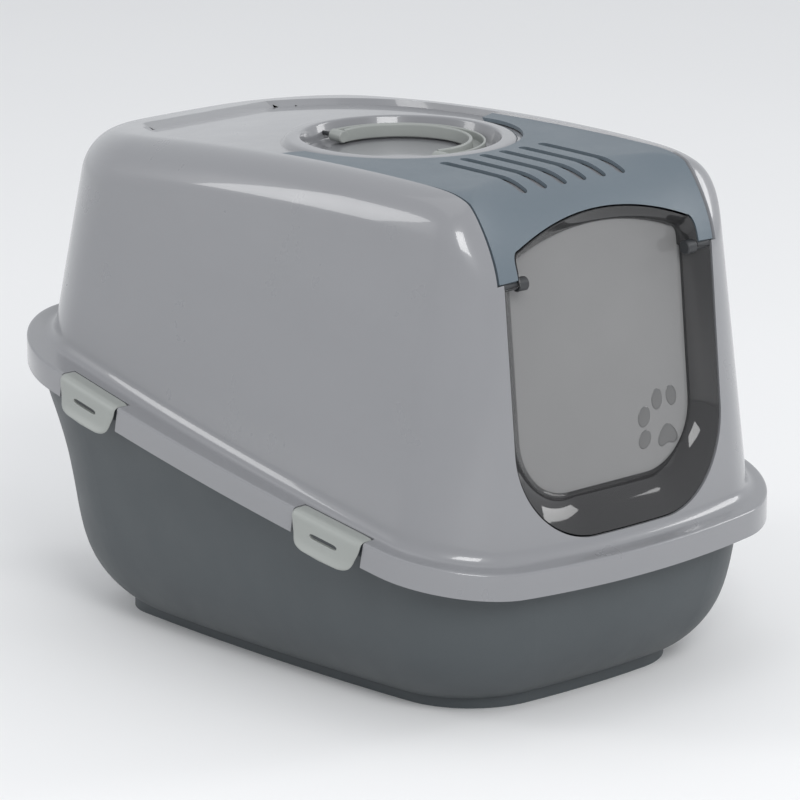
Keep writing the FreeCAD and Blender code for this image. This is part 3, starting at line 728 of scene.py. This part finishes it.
# ---- cutters --------------------------------------------------------------
def prism_block(loop, start, end):
    """Closed block between a loop at start and the same loop at end: points and faces."""
    rings = np.stack([np.broadcast_to(loop.mean(0) + start, loop.shape), loop + start,
                      loop + end, np.broadcast_to(loop.mean(0) + end, loop.shape)])
    return rings, quads(4, len(loop), False, True)


def rounded_corner(a, b, c, count):
    """Plane curve from a to c rounded towards b."""
    return bezier(np.array([a]), np.array([b]), np.array([c]), count)[:, 0]


def shallow_arc(reach, shoulder, top, count):
    """Arc in front view from (reach, shoulder) up to the middle at top, its first point left out."""
    radius = (reach ** 2 + (top - shoulder) ** 2) / (2 * (top - shoulder))
    lean = math.degrees(math.asin(reach / radius))
    return arc((0, top - radius), radius, 90 - lean, 90, count)[1:]


def arc(centre, radius, start, end, count):
    """Points of an arc in a plane, angles in degrees."""
    t = np.radians(np.linspace(start, end, count))
    return np.stack([centre[0] + radius * np.cos(t), centre[1] + radius * np.sin(t)], 1)


# the doorway and the arch that the cover makes over it, in front view
DOOR_HALF, DOOR_LOW, DOOR_CORNER, LEG_FOOT = 127.5, 157.5, 84.0, 396.5
LEG_INNER, ARCH_SHOULDER, ARCH_TOP, ARCH_REACH = 111.0, 413.0, 433.0, 103.0


def arch_half():
    """Right half of the cover's arch, from its leg's inner side up to the top's middle:
    upright, a rounded step, and a long shallow arc."""
    step = rounded_corner((LEG_INNER, ARCH_SHOULDER - 14), (LEG_INNER, ARCH_SHOULDER - 1),
                          (ARCH_REACH, ARCH_SHOULDER), 9)
    return np.concatenate([step, shallow_arc(ARCH_REACH, ARCH_SHOULDER, ARCH_TOP, 40)])


def both_sides(right):
    """Half outline at x >= 0, from the bottom to the top, closed over the other side."""
    return np.concatenate([right, right[::-1][1:-1] * [-1, 1]])


def doorway_loop():
    """Doorway in front view as (x, z): round lower corners, upright sides up to the
    cover's legs, and the arch between them."""
    bend = arc((DOOR_HALF - DOOR_CORNER, DOOR_LOW + DOOR_CORNER), DOOR_CORNER, -90, 0, 40)
    return both_sides(np.concatenate([[[0, DOOR_LOW]], bend, [[DOOR_HALF, LEG_FOOT]],
                                      [[LEG_INNER, LEG_FOOT]], arch_half()]))


def upright_loop(loop, y):
    return np.stack([loop[:, 0], np.full(len(loop), y), loop[:, 1]], 1)


def flat_loop(loop, z):
    return np.stack([loop[:, 0], loop[:, 1], np.full(len(loop), z)], 1)


def round_slot(x, y1, y2, half, count=16):
    """Plan of a slot with round ends."""
    return np.concatenate([arc((x, y2 - half), half, 0, 180, count),
                           arc((x, y1 + half), half, 180, 360, count)])


def over_skin(field, x, angles):
    """Points on a skin: for each side-view angle a row over the given x."""
    origin = np.stack([x, np.full_like(x, SPAN_Y), np.full_like(x, SPAN_Z)], -1)
    way = np.stack([0 * x, np.cos(angles)[:, None] + 0 * x, np.sin(angles)[:, None] + 0 * x], -1)
    return cast(field, origin, way)


def band_cutter():
    """What the inset band loses: rows across the roof between a floor band_depth below
    the skin and a lid above it, with walls that lean outwards."""
    s = sizes()
    start = math.atan2(BAND_FOOT - SPAN_Z, FRONT_RAY)
    end = math.atan2(BAND_END_RISE, BAND_END_RUN)
    t = np.linspace(0, 1, 190)
    angles = start + (end - start) * (1 - (1 - t) ** 1.7)
    u = np.linspace(-1, 1, 60)[None, :]
    floor_field = lambda x, y, z: hood_field(x, y, z) + s.band_depth
    lid_field = lambda x, y, z: hood_field(x, y, z) - BAND_LID
    mid = over_skin(floor_field, np.zeros((len(angles), 1)), angles)
    half = np.maximum(band_half(mid[..., 1]), BAND_END_HALF)
    below = over_skin(floor_field, half * u, angles)
    above = over_skin(lid_field, (half + BAND_FLARE) * u[:, ::-1], angles)
    return np.concatenate([below, above], 1)


def clip_frame(side, y):
    """Rotation and origin of a clip's own drawing: x out from the lip's face, y along
    the rim, z up from the lip's lower edge. The face turns with the rim's bow."""
    s = sizes()
    bow = HOOD_HIGH[0] - y ** 2 / RIM_SIDE_BOW
    turn, pitch = math.asin(2 * y / RIM_SIDE_BOW), math.atan(s.rim_slope)
    place = Matrix.Translation((side * bow, y, rim_height(y)))
    place = place @ Matrix.Rotation(side * turn, 4, "Z")
    if side < 0:
        place = place @ Matrix.Rotation(pitch, 4, "X") @ Matrix.Rotation(math.pi, 4, "Z")
    else:
        place = place @ Matrix.Rotation(pitch, 4, "X")
    return place


CLIP_SITES = {"rear_left": (-1, 152.0), "rear_right": (1, 152.0),
              "front_left": (-1, -164.0), "front_right": (1, -164.0)}
CUP_Y, CUP_HOLE = -15.6, 101.5                  # the cup's middle, and its hole in the roof
WELL_HALF, WELL_FRONT, WELL_BACK = 76.5, -204.5, -125.5
NOTCH_IN, NOTCH_OUT, NOTCH_HALF = 14.6, 20.0, 42.0


def corners(left, right, near, far):
    """Rectangle's corners in plan, anticlockwise."""
    return np.array([[left, near], [right, near], [right, far], [left, far]])


class LITTERBOX_OT_hood(bpy.types.Operator):
    """Hood with its flange, doorway, inset band and the cup for the handle"""
    bl_idname = "litter_box.hood"
    bl_label = "Hood"

    def execute(self, context):
        hood = solid_loop("hood_body", hood_rings(), caps=False)
        finish_mesh(hood)
        band = solid_loop("band_cutter", band_cutter())
        finish_mesh(band)
        cut(hood, band)
        hole = arc((0, CUP_Y), CUP_HOLE, 0, 358, 180)
        cut_blocks(hood, [prism_block(upright_loop(doorway_loop(), 0), [0, -420, 0], [0, -205, 0]),
                          prism_block(flat_loop(hole, 0), [0, 0, 430], [0, 0, 480])])
        well = corners(-WELL_HALF, WELL_HALF, WELL_FRONT, WELL_BACK)
        cut_blocks(hood, [prism_block(flat_loop(well, 0), [0, 0, 405], [0, 0, 480])])
        base = flat_loop(corners(-NOTCH_IN, NOTCH_OUT, -NOTCH_HALF, NOTCH_HALF), -5.0)
        rings, faces = prism_block(base, [0, 0, 0], [0, 0, 55])
        cut_blocks(hood, [(turned(rings, clip_frame(side, y)), faces) for side, y in CLIP_SITES.values()])
        finish_mesh(hood, sharp=28.0, merge=0.00001, outward=False)
        fit_out(hood, "hood", finish_of("hood_gloss"), "hood_plastic", "hood_shell")
        cup = solid_loop("hood_cup", cup_rings())
        finish_mesh(cup, sharp=30.0)
        fit_out(cup, "hood", finish_of("hood_gloss"), "hood_plastic")
        return {"FINISHED"}


def cup_rings():
    """The cup as a profile (r, z) turned about its upright axis, one ring per point:
    floor, drafted wall, rounded ring and its foot, and the underside."""
    profile = np.concatenate([
        [[0.0, 443.5]],
        rounded_corner((83.0, 443.5), (86.0, 443.5), (86.9, 446.0), 6),
        rounded_corner((90.0, 457.6), (90.5, 459.7), (92.6, 459.7), 6),
        rounded_corner((99.5, 459.2), (102.5, 459.0), (104.3, 457.4), 6),
        [[107.5, 453.2], [107.5, 447.0], [94.0, 447.0], [89.0, 440.7], [0.0, 440.7]]])
    t = np.radians(np.linspace(0, 360, 220, endpoint=False))
    r, z = profile[:, 0][:, None], profile[:, 1][:, None]
    return np.stack([r * np.cos(t), CUP_Y + r * np.sin(t), z + 0 * t], -1)


# ---- vent cover -----------------------------------------------------------
COVER_REAR_RISE, COVER_HORN_RISE, COVER_RUN = 155.0, 153.0, 133.0  # rays to the rear edge
COVER_FOOT = 397.3                              # lower edge of the legs
COVER_GAP, COVER_TOP, COVER_UNDER = 1.1, 1.2, 4.6  # beside the band, and depths below the skin
RING_CLEAR = 109.6                              # radius cut out round the cup
HORN_START, HORN_RUN, HORN_TURN = 100.0, 32.0, 0.045  # how the rear edge slants at the sides
SLOTS, SLOT_PITCH, SLOT_HALF, SLOT_FRONT, SLOT_BACK = 6, 24.0, 4.8, -235.0, -131.0


class LITTERBOX_OT_vent_cover(bpy.types.Operator):
    """Vent cover over the front of the inset band, with its arch and six slots"""
    bl_idname = "litter_box.vent_cover"
    bl_label = "Vent cover"

    def execute(self, context):
        s = sizes()
        start = math.atan2(COVER_FOOT - SPAN_Z, FRONT_RAY)
        u = np.linspace(-1, 1, 70)[None, :]
        x = (s.band_half - COVER_GAP) * u
        angles = np.linspace(start, math.atan2(COVER_REAR_RISE, COVER_RUN), 170)[:, None] + 0 * u
        # the rear edge slants back towards both sides like two horns
        slant = np.clip((np.abs(x) - HORN_START) / HORN_RUN, 0, 1)
        rear = math.atan2(COVER_HORN_RISE, COVER_RUN) - HORN_TURN * slant
        share = (angles - start) / (angles[-1, 0] - start)
        angles = start + (rear - start) * share
        outside = slanted_skin(lambda *p: hood_field(*p) + COVER_TOP, x + 0 * angles, angles)
        inside = slanted_skin(lambda *p: hood_field(*p) + COVER_UNDER, x + 0 * angles, angles)
        cover = solid_loop("vent_cover", np.concatenate([outside, inside[:, ::-1]], 1), caps=False)
        close_ends(cover)
        finish_mesh(cover)
        ring = flat_loop(arc((0, CUP_Y), RING_CLEAR, 0, 358, 180), 0)
        head = both_sides(np.concatenate([[[0, 380.0]], [[LEG_INNER, 380.0]], arch_half()]))
        cut_blocks(cover, [prism_block(ring, [0, 0, 400], [0, 0, 500]),
                           prism_block(upright_loop(head, 0), [0, -420, 0], [0, -190, 0])])
        slots = []
        for i in range(SLOTS):
            middle = (i - (SLOTS - 1) / 2) * SLOT_PITCH
            loop = flat_loop(round_slot(middle, SLOT_FRONT, SLOT_BACK, SLOT_HALF), 0)
            slots.append(prism_block(loop, [0, 0, 415], [0, 0, 490]))
        cut_blocks(cover, slots)
        finish_mesh(cover, sharp=28.0, outward=False)
        bevel(cover, 0.7, 2, 40.0)
        fit_out(cover, "vent_cover", finish_of("cover_satin"), "cover_plastic", "filter_cover")
        return {"FINISHED"}


def slanted_skin(field, x, angles):
    """Points on a skin for given x and side-view angles, point by point."""
    origin = np.stack([x, np.full_like(x, SPAN_Y), np.full_like(x, SPAN_Z)], -1)
    way = np.stack([0 * x, np.cos(angles), np.sin(angles)], -1)
    return cast(field, origin, way)


def close_ends(obj):
    """Fills the two open ends of a strip's loop."""
    bm = bmesh.new()
    bm.from_mesh(obj.data)
    bmesh.ops.holes_fill(bm, edges=[e for e in bm.edges if e.is_boundary], sides=0)
    bmesh.ops.triangulate(bm, faces=[f for f in bm.faces if len(f.verts) > 4])
    bm.to_mesh(obj.data)
    bm.free()


# ---- door -----------------------------------------------------------------
HINGE = joint_place("door_swing")[0]
PANEL_BACK, PANEL_WALL = 29.0, 2.3              # panel behind the hood's front, and its wall
DISH_POWER, DISH_WALL, DISH_LIP = 1.7, 2.3, 0.9  # bend of the dish, its wall, its edge's reach
RIB_HEIGHT, BADGE_X, BADGE_Z, BADGE_RADIUS = 0.3, 68, 232, 26
LUG_PROFILE = ((98.0, 0.0), (98.0, 5.4), (98.8, 6.2), (108.4, 6.2), (109.2, 5.4), (109.2, 0.0))


def door_loop(share):
    """Outline of the door in front view at a share of its depth: 0 at the doorway,
    1 round the panel. Round lower corners, upright sides, and an arched head."""
    at_doorway = np.array([125.9, 159.0, 83.0, 109.4, 431.0, 411.0, 101.5])
    at_panel = np.array([106.0, 191.0, 58.0, 103.0, 419.0, 402.0, 94.0])
    half, low, corner, neck, top, shoulder, reach = at_doorway + (at_panel - at_doorway) * share
    neck = min(neck, half)
    step = rounded_corner((neck, shoulder - 13), (neck, shoulder - 1), (reach, shoulder), 10)
    right = np.concatenate([
        np.stack([np.linspace(0, half - corner, 20), np.full(20, low)], 1)[:-1],
        arc((half - corner, low + corner), corner, -90, 0, 40),
        np.stack([np.full(30, half), np.linspace(low + corner, 382.0, 31)[1:]], 1),
        [[neck, 384.0]], step, shallow_arc(reach, shoulder, top, 44)])
    return both_sides(right)


def on_front(loop):
    """Front-view loop laid just under the hood's front skin."""
    start = np.stack([loop[:, 0], np.full(len(loop), SPAN_Y), loop[:, 1]], 1)
    return cast(lambda *p: hood_field(*p) + 1.4, start, np.array([0.0, -1.0, 0.0]))


def panel_depth(z):
    """Depth of the panel's plane, leaning with the hood's front."""
    return FRONT_Y + FRONT_LEAN * (z - HOOD_FOOT) + PANEL_BACK


def on_panel(loop, back):
    return np.stack([loop[:, 0], panel_depth(loop[:, 1]) + back, loop[:, 1]], 1)


# toes of the paw print: middle x and z, half width, half height, turn in degrees
PAW_PADS = ((50.0, 239.5, 7.4, 9.4, 24), (49.5, 219.5, 7.0, 9.0, 40),
            (67.0, 252.5, 6.6, 9.4, 6), (85.0, 253.0, 6.4, 9.2, -12))
PAW_HEEL = ((78.0, 231.0), (88.5, 222.5), (91.5, 214.0), (86.0, 209.5), (78.0, 212.5),
            (70.5, 208.5), (65.0, 212.5), (67.5, 222.0))
# rounded brow of a pad: share of its outline, lift off the panel
PAD_STEPS = ((0.0, 0.55), (0.80, 0.55), (0.93, 0.45), (0.985, 0.2), (1.0, 0.0), (1.0, -0.4), (0.0, -0.4))


def panel_rings():
    """Panel as a slab of columns: ribs run up its inner face, smooth where the paw is."""
    s = sizes()
    loop = door_loop(1.0)
    right = loop[:len(loop) // 2 + 1]
    turn = int(np.argmax(right[:, 0] >= right[:, 0].max() - 1e-6))
    half = right[:, 0].max() - 0.02
    x = np.linspace(-half, half, 420)
    low = np.interp(np.abs(x), right[:turn + 1, 0], right[:turn + 1, 1])
    upper = right[turn:][::-1]
    high = np.interp(np.abs(x), upper[:, 0], upper[:, 1])
    v = np.linspace(0, 1, 110)[None, :]
    z = low[:, None] + (high - low)[:, None] * v
    xx = x[:, None] + 0 * z
    inside = smooth(np.minimum((z - low[:, None]), (high[:, None] - z)) / 7)
    inside = inside * smooth((half - np.abs(xx)) / 5)
    ribs = RIB_HEIGHT * (0.5 + 0.5 * np.cos(2 * np.pi * xx / s.rib_pitch)) ** 2 * inside
    badge = smooth((BADGE_RADIUS - np.hypot((xx - BADGE_X) / 1.25, z - BADGE_Z)) / 6)
    back = PANEL_WALL + ribs * (1 - badge)
    plane = panel_depth(z)
    face = np.stack([xx, plane, z], -1)
    rear = np.stack([xx, plane + back, z], -1)
    return np.concatenate([face, rear[:, ::-1]], 1)


def dish_rings():
    """Dish wall of the door: from its edge on the hood's skin, back and inwards to the
    panel, and returning a wall's thickness behind."""
    outer, inner = [], []
    front = on_front(door_loop(0.0))
    middle = np.array([0.0, 0.0, SPAN_Z])
    for step in np.linspace(0, 1, 16):
        loop = door_loop(1 - (1 - step) ** DISH_POWER)
        deep = on_panel(loop, 0.0)
        depth = front[:, 1] + (deep[:, 1] - front[:, 1]) * step
        ring = np.stack([loop[:, 0], depth, loop[:, 1]], 1)
        outer.append(ring)
        pull = unit((ring - middle) * np.array([1, 0, 1]))
        inner.append(ring + np.array([0, DISH_WALL, 0]) + pull * 0.6)
    edge = outer[0] + (inner[0] - outer[0]) * 0.5 + np.array([0, -DISH_LIP, 0])
    return outer + inner[::-1] + [edge]


def closed_curve(corners, count=12):
    """Smooth closed curve: each corner rounded by a quadratic between edge middles."""
    p = np.array(corners)
    before, after = (p + np.roll(p, 1, 0)) / 2, (p + np.roll(p, -1, 0)) / 2
    t = np.linspace(0, 1, count, endpoint=False)[None, :, None]
    curve = before[:, None] * (1 - t) ** 2 + 2 * p[:, None] * t * (1 - t)
    return (curve + after[:, None] * t ** 2).reshape(-1, 2)


def paw_loops():
    """Outlines of the paw print's five pads in front view."""
    t = np.linspace(0, 2 * np.pi, 64, endpoint=False)
    for cx, cz, rx, rz, turn in PAW_PADS:
        a = math.radians(turn)
        u, w = rx * np.cos(t), rz * np.sin(t)
        x, z = cx + u * math.cos(a) + w * math.sin(a), cz - u * math.sin(a) + w * math.cos(a)
        yield np.stack([x, z], 1)
    yield closed_curve(PAW_HEEL)


def pad_rings(loop):
    """Thin pad on the panel's face: its outline shrunk and lifted by the steps of its brow."""
    middle = loop.mean(0)
    return np.stack([on_panel(middle + (loop - middle) * share, -lift) for share, lift in PAD_STEPS])


class LITTERBOX_OT_door(bpy.types.Operator):
    """Swinging door: smoked panel with ribs and a paw print, dish wall and lugs"""
    bl_idname = "litter_box.door"
    bl_label = "Door"

    def execute(self, context):
        panel = solid_loop("door_panel", panel_rings())
        finish_mesh(panel, sharp=50.0)
        fit_out(panel, "door", finish_of("door_smoke"), "door_plastic", "door_flap")
        stack = np.stack(dish_rings())
        dish = build("door_dish", [(stack, quads(stack.shape[0], stack.shape[1], True, True))])
        finish_mesh(dish, sharp=50.0)
        # the dish's darker smoke is painted shade on one moulding with the panel
        fit_out(dish, "door", finish_of("dish_smoke_painted_shade"), "door_plastic")
        rings = [pad_rings(loop) for loop in paw_loops()]
        pads = [(ring, quads(len(ring), ring.shape[1], False, True)) for ring in rings]
        paw_print = build("door_paw", pads)
        finish_mesh(paw_print, sharp=50.0)
        fit_out(paw_print, "door", finish_of("paw_dark"), "door_plastic")
        t = np.radians(np.linspace(0, 360, 48, endpoint=False))
        for name, sign in (("left", -1), ("right", 1)):
            profile = np.array(LUG_PROFILE)
            x, r = sign * profile[:, 0][:, None], profile[:, 1][:, None]
            rings = np.stack([x + 0 * t, HINGE[1] + r * np.cos(t), HINGE[2] + r * np.sin(t)], -1)
            lug = solid_loop("door_lug_" + name, rings, caps=False)
            finish_mesh(lug)
            fit_out(lug, "door", finish_of("pin_dark"), "pin_plastic")
        return {"FINISHED"}


# ---- clips ----------------------------------------------------------------
CLIP_HALF, CLIP_TAPER, CLIP_WALL = 40.0, 5.5, 1.25   # half width, its loss down the plate, half wall
CLIP_FOOT, CLIP_FOOT_POWER = 0.66, 3.4          # share of the way where the foot starts, its shape
CLIP_SLOT_HALF, CLIP_SLOT_UP, CLIP_SLOT_RADIUS = 16.5, 7.8, 2.2
BARREL_IN, BARREL_UP = -10, 21.2                # barrel round the pin, in the clip's drawing
BARREL_PROFILE = ((-40, 0.0), (-40, 1.9), (-39.6, 2.3), (39.6, 2.3), (40, 1.9), (40, 0.0))


def clip_path():
    """Side view of a clip's middle line as (out, up): flat arm over the flange, a round
    bend over the lip's edge, the plate, and a flared foot. Evenly spaced."""
    arm = np.array([[-12.0, 22.4], [-4.0, 22.5]])
    over = rounded_corner((-4.0, 22.5), (1.8, 22.6), (2.0, 16.5), 12)
    plate = np.array([[2.1, 12.0], [2.4, 3.0]])
    flare = rounded_corner((2.4, 3.0), (2.6, -3.0), (6.4, -9.0), 12)
    return resample(np.concatenate([arm, over[1:], plate, flare[1:]]), 56)


def clip_points():
    """Clip as loops across its width, front then back: half width shrinks down the plate
    and closes in a superellipse at the rounded foot."""
    path = clip_path()
    run = np.concatenate([[0], np.cumsum(np.linalg.norm(np.diff(path, axis=0), axis=1))])
    t = run / run[-1]
    way = unit(np.gradient(path, axis=0))
    out = np.stack([-way[:, 1], way[:, 0]], 1)
    foot = np.clip((t - CLIP_FOOT) / (1 - CLIP_FOOT), 0, 1)
    half = CLIP_HALF - CLIP_TAPER * smooth((t - 0.35) / 0.5)
    half = half * (1 - foot ** CLIP_FOOT_POWER) ** (1 / CLIP_FOOT_POWER) + 0.8
    u = np.linspace(-1, 1, 60)[None, :]
    tip = (1 - np.clip((t[:, None] - 0.96) / 0.04, 0, 1) ** 2) ** 0.5
    thick = CLIP_WALL * (1 - np.abs(u) ** 14) ** 0.5 * tip + 0.25
    y = half[:, None] * u
    crown = -0.5 * u ** 2 * smooth((t[:, None] - 0.3) / 0.2)
    front = path[:, None] + out[:, None] * (thick + crown)[..., None]
    back = path[:, None] + out[:, None] * (-thick + crown)[..., None]
    face = np.stack([front[..., 0], y, front[..., 1]], -1)
    rear = np.stack([back[..., 0], y, back[..., 1]], -1)
    return np.concatenate([face, rear[:, ::-1]], 1)


class LITTERBOX_OT_clips(bpy.types.Operator):
    """Four carry clips that hinge on the flange and lap over its lip"""
    bl_idname = "litter_box.clips"
    bl_label = "Clips"

    def execute(self, context):
        shape = clip_points()
        t = np.linspace(0, 2 * np.pi, 40, endpoint=False)
        squeeze = np.sign(np.cos(t)) * np.abs(np.cos(t)) ** 0.25
        slot = np.stack([0 * t, CLIP_SLOT_HALF * squeeze, CLIP_SLOT_UP + CLIP_SLOT_RADIUS * np.sin(t)], 1)
        for name, (side, y) in CLIP_SITES.items():
            place = clip_frame(side, y)
            rings = turned(shape, place)
            clip = solid_loop("clip_body_" + name, rings, caps=False)
            close_ends(clip)
            finish_mesh(clip, sharp=50.0, merge=0.000002)
            points, faces = prism_block(slot, [-3, 0, 0], [9, 0, 0])
            cut_blocks(clip, [(turned(points, place), faces)])
            around = np.radians(np.linspace(0, 360, 28, endpoint=False))
            along, radius = np.array(BARREL_PROFILE)[:, :1], np.array(BARREL_PROFILE)[:, 1:]
            ring = np.stack([BARREL_IN + radius * np.cos(around), along + 0 * around,
                             BARREL_UP + radius * np.sin(around)], -1)
            barrel = solid_loop("clip_barrel_" + name, turned(ring, place), caps=False)
            finish_mesh(barrel)
            finish_mesh(clip, sharp=40.0, outward=False)
            bevel(clip, 0.35, 2, 50.0)
            fit_out(clip, "clip_" + name, finish_of("clip_satin"), "clip_plastic", "clip_" + name)
            fit_out(barrel, "clip_" + name, finish_of("clip_satin"), "clip_plastic")
        return {"FINISHED"}


# ---- handle ---------------------------------------------------------------
BAIL_RADIUS, BAIL_END_X, BAIL_PIN_Z = 68.5, -14.0, 451.0  # bent line of the bail, and its pins
HUB_PROFILE = ((-7.6, 0.0), (-7.6, 4.9), (-6.9, 5.6), (6.9, 5.6), (7.6, 4.9), (7.6, 0.0))
# each corner of the channel as (r, z): where its rounding starts, the corner, where it ends
CHANNEL = (((61.0, 447.0), (61.0, 445.4), (62.6, 445.4)), ((75.2, 445.4), (76.5, 445.4), (76.5, 446.6)),
           ((76.5, 454.6), (76.5, 455.8), (75.4, 455.8)), ((75.2, 455.8), (74.1, 455.8), (74.1, 454.6)),
           ((74.1, 449.4), (74.1, 448.0), (72.6, 448.0)), ((66.0, 448.0), (64.4, 448.0), (64.4, 449.6)),
           ((64.4, 456.0), (64.4, 457.6), (62.8, 457.6)), ((62.6, 457.6), (61.0, 457.6), (61.0, 456.0)))


def handle_profile():
    """Channel section as (r, z): a thin outer wall, a groove and a taller inner wall,
    all with round tops."""
    return np.concatenate([rounded_corner(*bend, 5) for bend in CHANNEL])


class LITTERBOX_OT_handle(bpy.types.Operator):
    """Carry handle lying in its cup: a channel bent into a C with hubs at its ends"""
    bl_idname = "litter_box.handle"
    bl_label = "Handle"

    def execute(self, context):
        profile = handle_profile()
        end = math.degrees(math.acos(BAIL_END_X / BAIL_RADIUS))
        t = np.radians(np.linspace(-end, end, 150))[:, None]
        r, z = profile[:, 0][None, :], profile[:, 1][None, :]
        rings = np.stack([r * np.cos(t), CUP_Y + r * np.sin(t), z + 0 * t], -1)
        bail = solid_loop("handle_bail", rings, caps=False)
        close_ends(bail)
        finish_mesh(bail, sharp=35.0)
        fit_out(bail, "handle", finish_of("clip_satin"), "clip_plastic", "carry_handle")
        around = np.radians(np.linspace(0, 360, 40, endpoint=False))
        reach = math.sqrt(BAIL_RADIUS ** 2 - BAIL_END_X ** 2)
        for name, sign in (("rear", 1), ("front", -1)):
            shape = np.array(HUB_PROFILE)
            y, radius = CUP_Y + sign * reach + shape[:, :1], shape[:, 1:2]
            ring = np.stack([BAIL_END_X + radius * np.cos(around), y + 0 * around,
                             BAIL_PIN_Z + radius * np.sin(around)], -1)
            hub = solid_loop("handle_hub_" + name, ring, caps=False)
            finish_mesh(hub)
            fit_out(hub, "handle", finish_of("clip_satin"), "clip_plastic")
        return {"FINISHED"}


class LITTERBOX_OT_small_parts(bpy.types.Operator):
    """Finishes of the CAD parts that are shown as they are"""
    bl_idname = "litter_box.small_parts"
    bl_label = "Pins and filter"

    def execute(self, context):
        for node, material in NODE_FINISH.items():
            dress_node(node, material)
        return {"FINISHED"}


NODE_FINISH = {
    "base_pan": "tray_satin",
    "filter_frame": "pin_dark",
    "carbon_filter": "filter_fleece",
    "door_pin_left": "pin_dark",
    "door_pin_right": "pin_dark",
    "handle_pin_rear": "pin_dark",
    "handle_pin_front": "pin_dark",
    "clip_pins": "pin_dark",
}


class LITTERBOX_PT_panel(bpy.types.Panel):
    """Buttons for each piece of the litter box"""
    bl_label = "Litter box"
    bl_space_type = "VIEW_3D"
    bl_region_type = "UI"
    bl_category = "Litter box"

    def draw(self, context):
        for operator in OPERATORS:
            self.layout.operator(operator.bl_idname)
        for group in (context.scene.litter_box_sizes, context.scene.litter_box_colours):
            for name in group.__class__.__annotations__:
                self.layout.prop(group, name)


OPERATORS = [c for c in list(globals().values())
             if isinstance(c, type) and issubclass(c, bpy.types.Operator) and c is not bpy.types.Operator]
CLASSES = [LitterBoxSizes, LitterBoxColours, *OPERATORS, LITTERBOX_PT_panel]


def register():
    for c in CLASSES:
        bpy.utils.register_class(c)
    bpy.types.Scene.litter_box_sizes = bpy.props.PointerProperty(type=LitterBoxSizes)
    bpy.types.Scene.litter_box_colours = bpy.props.PointerProperty(type=LitterBoxColours)


def unregister():
    del bpy.types.Scene.litter_box_sizes
    del bpy.types.Scene.litter_box_colours
    for c in reversed(CLASSES):
        bpy.utils.unregister_class(c)


def main():
    register()
    for operator in OPERATORS:
        group, name = operator.bl_idname.split(".")
        getattr(getattr(bpy.ops, group), name)()
    low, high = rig.bounds()
    with open("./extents.json", "w") as file:
        json.dump({"cad": [list(CAD_LOW), list(CAD_HIGH)], "visual": [list(low), list(high)]}, file)


if __name__ == "__main__":
    main()
